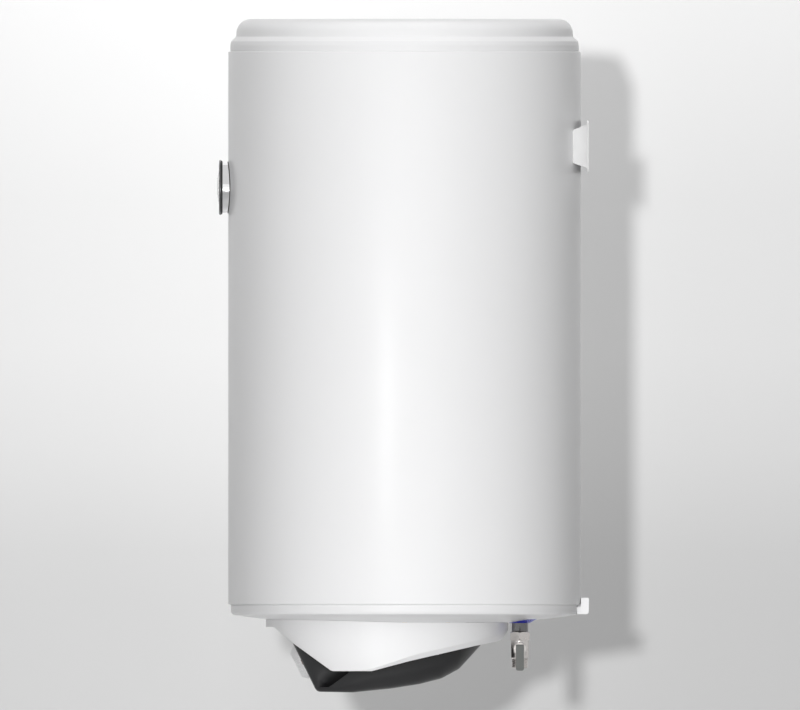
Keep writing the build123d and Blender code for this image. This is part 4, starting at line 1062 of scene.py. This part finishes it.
def make_valve():
    upright = upright_at(PIPE_X, PIPE_Y)
    outward = placed((PIPE_X, PIPE_Y, RELIEF_Z), (1, 0, 0), (0, 1, 0))
    nut = prism("safety_valve_casting", hexagon(24.0), upright, VALVE_NECK, VALVE_SOCKET)
    chamfer = lathe(
        "cutter",
        [(0, VALVE_NECK), (12.3, VALVE_NECK), (14.2, VALVE_NECK + 1.2), (14.2, VALVE_SOCKET - 1.2),
         (12.3, VALVE_SOCKET), (0, VALVE_SOCKET)],
        upright, 96,
    )
    combine(nut, "INTERSECT", chamfer)
    barrel = lathe(
        "barrel",
        rounded([(0, VALVE_THREAD, 0), (VALVE_R - 0.8, VALVE_THREAD, 0), (VALVE_R, VALVE_THREAD + 1.6, 0.5),
                 (VALVE_R, VALVE_NECK + 0.4, 0), (0, VALVE_NECK + 0.4, 0)]),
        upright, 96,
    )
    boss = lathe(
        "boss",
        rounded([(0, 0, 0), (BOSS_R, 0, 0), (BOSS_R, BOSS_END - PIPE_X, 0.5), (0, BOSS_END - PIPE_X, 0)]),
        outward, 80,
    )
    drain = upright_at(SPOUT_X, PIPE_Y)
    spout = lathe(
        "spout",
        rounded([(0, SPOUT_END, 0), (3.6, SPOUT_END, 0), (SPOUT_R, SPOUT_END + 0.8, 0),
                 (SPOUT_R, SPOUT_END + 3.0, 0), (3.5, SPOUT_END + 3.8, 0.2), (SPOUT_R, SPOUT_END + 4.6, 0),
                 (SPOUT_R, COLLAR_END, 0), (COLLAR_R, COLLAR_END, 0.4), (COLLAR_R, RELIEF_Z, 0),
                 (0, RELIEF_Z, 0)]),
        drain, 64,
    )
    combine(nut, "UNION", barrel, boss, spout)
    socket = prism("cutter", circle(PIPE_R + 0.15, 72), upright, VALVE_NECK + 0.2, VALVE_SOCKET + 2)
    spout_bore = prism("cutter", circle(2.5, 40), drain, -655.0, RELIEF_Z)
    check_chamber = prism("cutter", circle(7.0, 64), upright, CHECK_SEAT, VALVE_NECK + 0.4)
    passage = prism("cutter", circle(3.0, 40), outward, 0, 12.0)
    relief_chamber = prism("cutter", circle(6.0, 64), outward, 8.5, BOSS_END - PIPE_X + 1)
    combine(nut, "DIFFERENCE", socket, spout_bore, check_chamber, passage, relief_chamber)
    soften(nut, 0.25, 2, 40)
    dress(nut, "heater", "nickel_brass", "safety_valve_body")
    above = VALVE_THREAD + 0.3
    thread = threaded_tube("safety_valve_thread", PIPE_R, 5.0, VALVE_END, VALVE_THREAD, upright,
                           beyond=[(PIPE_R - 0.7, above), (7.0, above), (7.0, CHECK_SEAT)])
    dress(thread, "heater", "nickel_brass", "safety_valve_body")
    gap = BOSS_END - PIPE_X
    bonnet_outline = rounded(
        [(1.55, gap - 4, 0), (6.0, gap - 4, 0), (6.0, gap, 0), (BOSS_R, gap, 0.3), (BOSS_R, gap + 2.2, 0.5),
         (BOSS_R - 0.8, gap + 3, 0.4), (1.55, gap + 3, 0.2)]
    )

    def knurl(angle, radius, height):
        return -0.25 * max(0.0, math.cos(36 * angle)) if radius > BOSS_R - 0.1 else 0.0

    bonnet = lathe("relief_bonnet_cap", bonnet_outline, outward, 80, knurl)
    dress(bonnet, "heater", "nickel_brass", "relief_bonnet")


def make_lever():
    end, half_w = -654.2 - RELIEF_Z, 5.0
    across_pin = placed((LEVER_PIVOT, PIPE_Y, RELIEF_Z), (0, -1, 0), (1, 0, 0))
    facing = placed((LEVER_PIVOT, PIPE_Y, RELIEF_Z), (1, 0, 0), (0, 1, 0))
    outline = rounded(
        [(-4.0, 5.4, 3.8), (4.5, 5.4, 1.5), (4.5, end, 1), (1.2, end, 1), (1.2, -7.5, 1.5),
         (-4.0, -4.6, 1.5)]
    )
    lever = prism("safety_lever_arm", outline, across_pin, -half_w, half_w)
    plan = rounded([(-half_w, 6, 0), (-half_w, end, 2.5), (half_w, end, 2.5), (half_w, 6, 0)])
    combine(lever, "INTERSECT", prism("cutter", plan, facing, -8, 8))
    slot = prism("cutter", [(-6.1, 6.0), (-6.1, -3.0), (2.7, -3.0), (2.7, 6.0)], across_pin, -2.2, 2.2)
    bore = prism("cutter", circle(1.3, 32), across_pin, -8, 8)
    combine(lever, "DIFFERENCE", slot, bore)
    soften(lever, 0.4, 3, 40)
    dress(lever, "lever", "lever_grey", "safety_lever")


def make_gland():
    start = -COVER_R - 9.0
    out = placed((start, COVER_Y, -614.0), (1, 0, 0), (0, 1, 0))
    nut = prism("cable_gland_nut", hexagon(19.0), out, 0.0, 8.4)
    dome = rounded([(0, 0, 0), (7.2, 0, 2.0), (10.4, 4.2, 2.0), (10.4, 7.6, 0), (9.6, 8.4, 0), (0, 8.4, 0)])
    combine(nut, "INTERSECT", lathe("cutter", dome, out, 72))
    combine(nut, "DIFFERENCE", prism("cutter", circle(4.5, 40), out, -2, 12))
    soften(nut, 0.3, 2)
    dress(nut, "heater", "dark_plastic", "cable_gland")
    stem = threaded_tube("cable_gland_stem", 8.0, 4.5, 8.2, 20.0, out, pitch=1.5, depth=0.5)
    dress(stem, "heater", "dark_plastic", "cable_gland")


make_rings()
make_pipes()
make_valve()
make_lever()
make_gland()


# ---------------------------------------------------------------- camera, light and studio
CENTRE = Vector((0.0, -0.2357, -0.2603))
BACKDROP_X = -2.2
FLOOR_Z = -1.3
# Painted light on the studio paper: grey stops by height and across it, darker towards the bottom and
# towards +y, standing in for how the light falls off on the backdrop.
PAPER_PAINTED_LIGHT_BY_HEIGHT = [
    (-0.75, 0.64), (-0.566, 0.66), (-0.504, 0.68), (-0.379, 0.77), (-0.254, 0.83), (-0.067, 0.86),
    (0.2, 0.97),
]
PAPER_PAINTED_LIGHT_BY_WIDTH = [(-0.75, 0.93), (-0.61, 0.955), (-0.46, 1.0), (-0.2, 0.95), (0.14, 0.875), (0.3, 0.86)]

camera_data = bpy.data.cameras.new("view")
camera_data.type = "ORTHO"
camera_data.ortho_scale = 0.9984
camera = bpy.data.objects.new("view", camera_data)
camera.location = CENTRE + Vector((1.6, 0, 0))
camera.rotation_euler = (math.radians(90), 0, math.radians(90))
bpy.context.scene.collection.objects.link(camera)
bpy.context.scene.camera = camera


def backdrop():
    """One sheet of studio paper: upright behind the heater, curving forward into the floor."""
    mesh = bmesh.new()
    bend = 0.45
    outline = [(BACKDROP_X, 3.0), (BACKDROP_X, FLOOR_Z + bend)]
    for i in range(1, 13):
        angle = math.radians(90 * i / 12)
        outline.append((BACKDROP_X + bend * (1 - math.cos(angle)), FLOOR_Z + bend * (1 - math.sin(angle))))
    outline.append((5.0, FLOOR_Z))
    rows = [[mesh.verts.new((x / MM, y / MM, z / MM)) for y in (-5.0, 5.0)] for x, z in outline]
    bridge(mesh, rows, wrap_points=False)
    sheet = piece("studio_paper", mesh, sharp=80)
    graph = Graph("studio_paper")
    # The paper's base colour is painted light: its falloff by height and across multiplied together.
    down = graph.along("Z", PAPER_PAINTED_LIGHT_BY_HEIGHT)
    across = graph.along("Y", PAPER_PAINTED_LIGHT_BY_WIDTH)
    shade = graph.node("ShaderNodeMix", data_type="RGBA", blend_type="MULTIPLY")
    shade.inputs[0].default_value = 1.0
    graph.link(down, shade.inputs[6])
    graph.link(across, shade.inputs[7])
    graph.link(shade.outputs[2], graph.shader.inputs["Base Color"])
    graph.link(graph.bump(graph.noise(900.0), 2e-5), graph.shader.inputs["Normal"])
    graph.shader.inputs["Roughness"].default_value = 0.9
    graph.shader.inputs["Specular IOR Level"].default_value = 0.1
    sheet.data.materials.append(graph.material)
    sheet.visible_diffuse = False


def lamp(name, spot, target, size, power, diffuse=True, glossy=True, spread=180):
    """Rectangular soft light aimed at a point."""
    data = bpy.data.lights.new(name, "AREA")
    data.shape = "RECTANGLE"
    data.size, data.size_y = size
    data.energy = power
    data.spread = math.radians(spread)
    made = bpy.data.objects.new(name, data)
    made.location = spot
    made.rotation_euler = (Vector(target) - Vector(spot)).to_track_quat("-Z", "Y").to_euler()
    made.visible_camera = False
    made.visible_diffuse = diffuse
    made.visible_glossy = glossy
    made.visible_transmission = glossy
    bpy.context.scene.collection.objects.link(made)
    return made


def sun(name, travel, strength, angle):
    """Distant light that travels along a direction."""
    data = bpy.data.lights.new(name, "SUN")
    data.energy = strength
    data.angle = math.radians(angle)
    made = bpy.data.objects.new(name, data)
    made.rotation_euler = Vector(travel).to_track_quat("-Z", "Y").to_euler()
    made.visible_glossy = False
    bpy.context.scene.collection.objects.link(made)


def studio_world(diffuse_level, seen_level):
    """Pale surroundings, dimmer as a light source than as what shows and reflects."""
    world = bpy.data.worlds.new("studio")
    world.use_nodes = True
    tree = world.node_tree
    nodes = tree.nodes
    seen = nodes["Background"]
    seen.inputs["Color"].default_value = (seen_level, seen_level, seen_level, 1)
    soft = nodes.new("ShaderNodeBackground")
    soft.inputs["Color"].default_value = (diffuse_level, diffuse_level, diffuse_level, 1)
    path = nodes.new("ShaderNodeLightPath")
    mixed = nodes.new("ShaderNodeMixShader")
    tree.links.new(path.outputs["Is Diffuse Ray"], mixed.inputs[0])
    tree.links.new(seen.outputs[0], mixed.inputs[1])
    tree.links.new(soft.outputs[0], mixed.inputs[2])
    tree.links.new(mixed.outputs[0], nodes["World Output"].inputs["Surface"])
    bpy.context.scene.world = world


backdrop()
studio_world(0.09, 0.74)
sun("key_sun", (-1.0, 0.0302, -0.0205), 1.31, 0.65)
sun("broad_key", (-1.0, 0.02, -0.12), 1.62, 60.0)
sun("top_sun", (-0.08, 0.03, -1.0), 1.5, 40.0)
lamp("rear_left", CENTRE + Vector((-1.7, -1.3, 0.1)), CENTRE, (0.8, 1.6), 14.0, glossy=False)
lamp("rear_fill", CENTRE + Vector((-1.7, 0.6, 0.4)), CENTRE, (1.0, 1.6), 24.0, glossy=False)
lamp("floor_glow", (0.1, CENTRE.y, -1.2), (0, CENTRE.y, 0), (1.2, 1.2), 1.5, glossy=False, spread=50)
lamp("low_front", (1.0, CENTRE.y, -1.0), (0, CENTRE.y, -0.55), (0.8, 0.4), 0.9, glossy=False)
for name, height, length, power in (("strip", -0.145, 0.28, 2.3), ("upper_strip", 0.08, 0.2, 0.4)):
    spot = CENTRE + Vector((1.9, -0.36, height))
    lamp(name, spot, CENTRE + Vector((0, 0, height)), (0.05, length), power, diffuse=False)
lamp("front_panel", CENTRE + Vector((3.0, 0.0, 0.0)), CENTRE, (2.0, 2.0), 4.0, diffuse=False)
bpy.context.scene.view_settings.view_transform = "Standard"
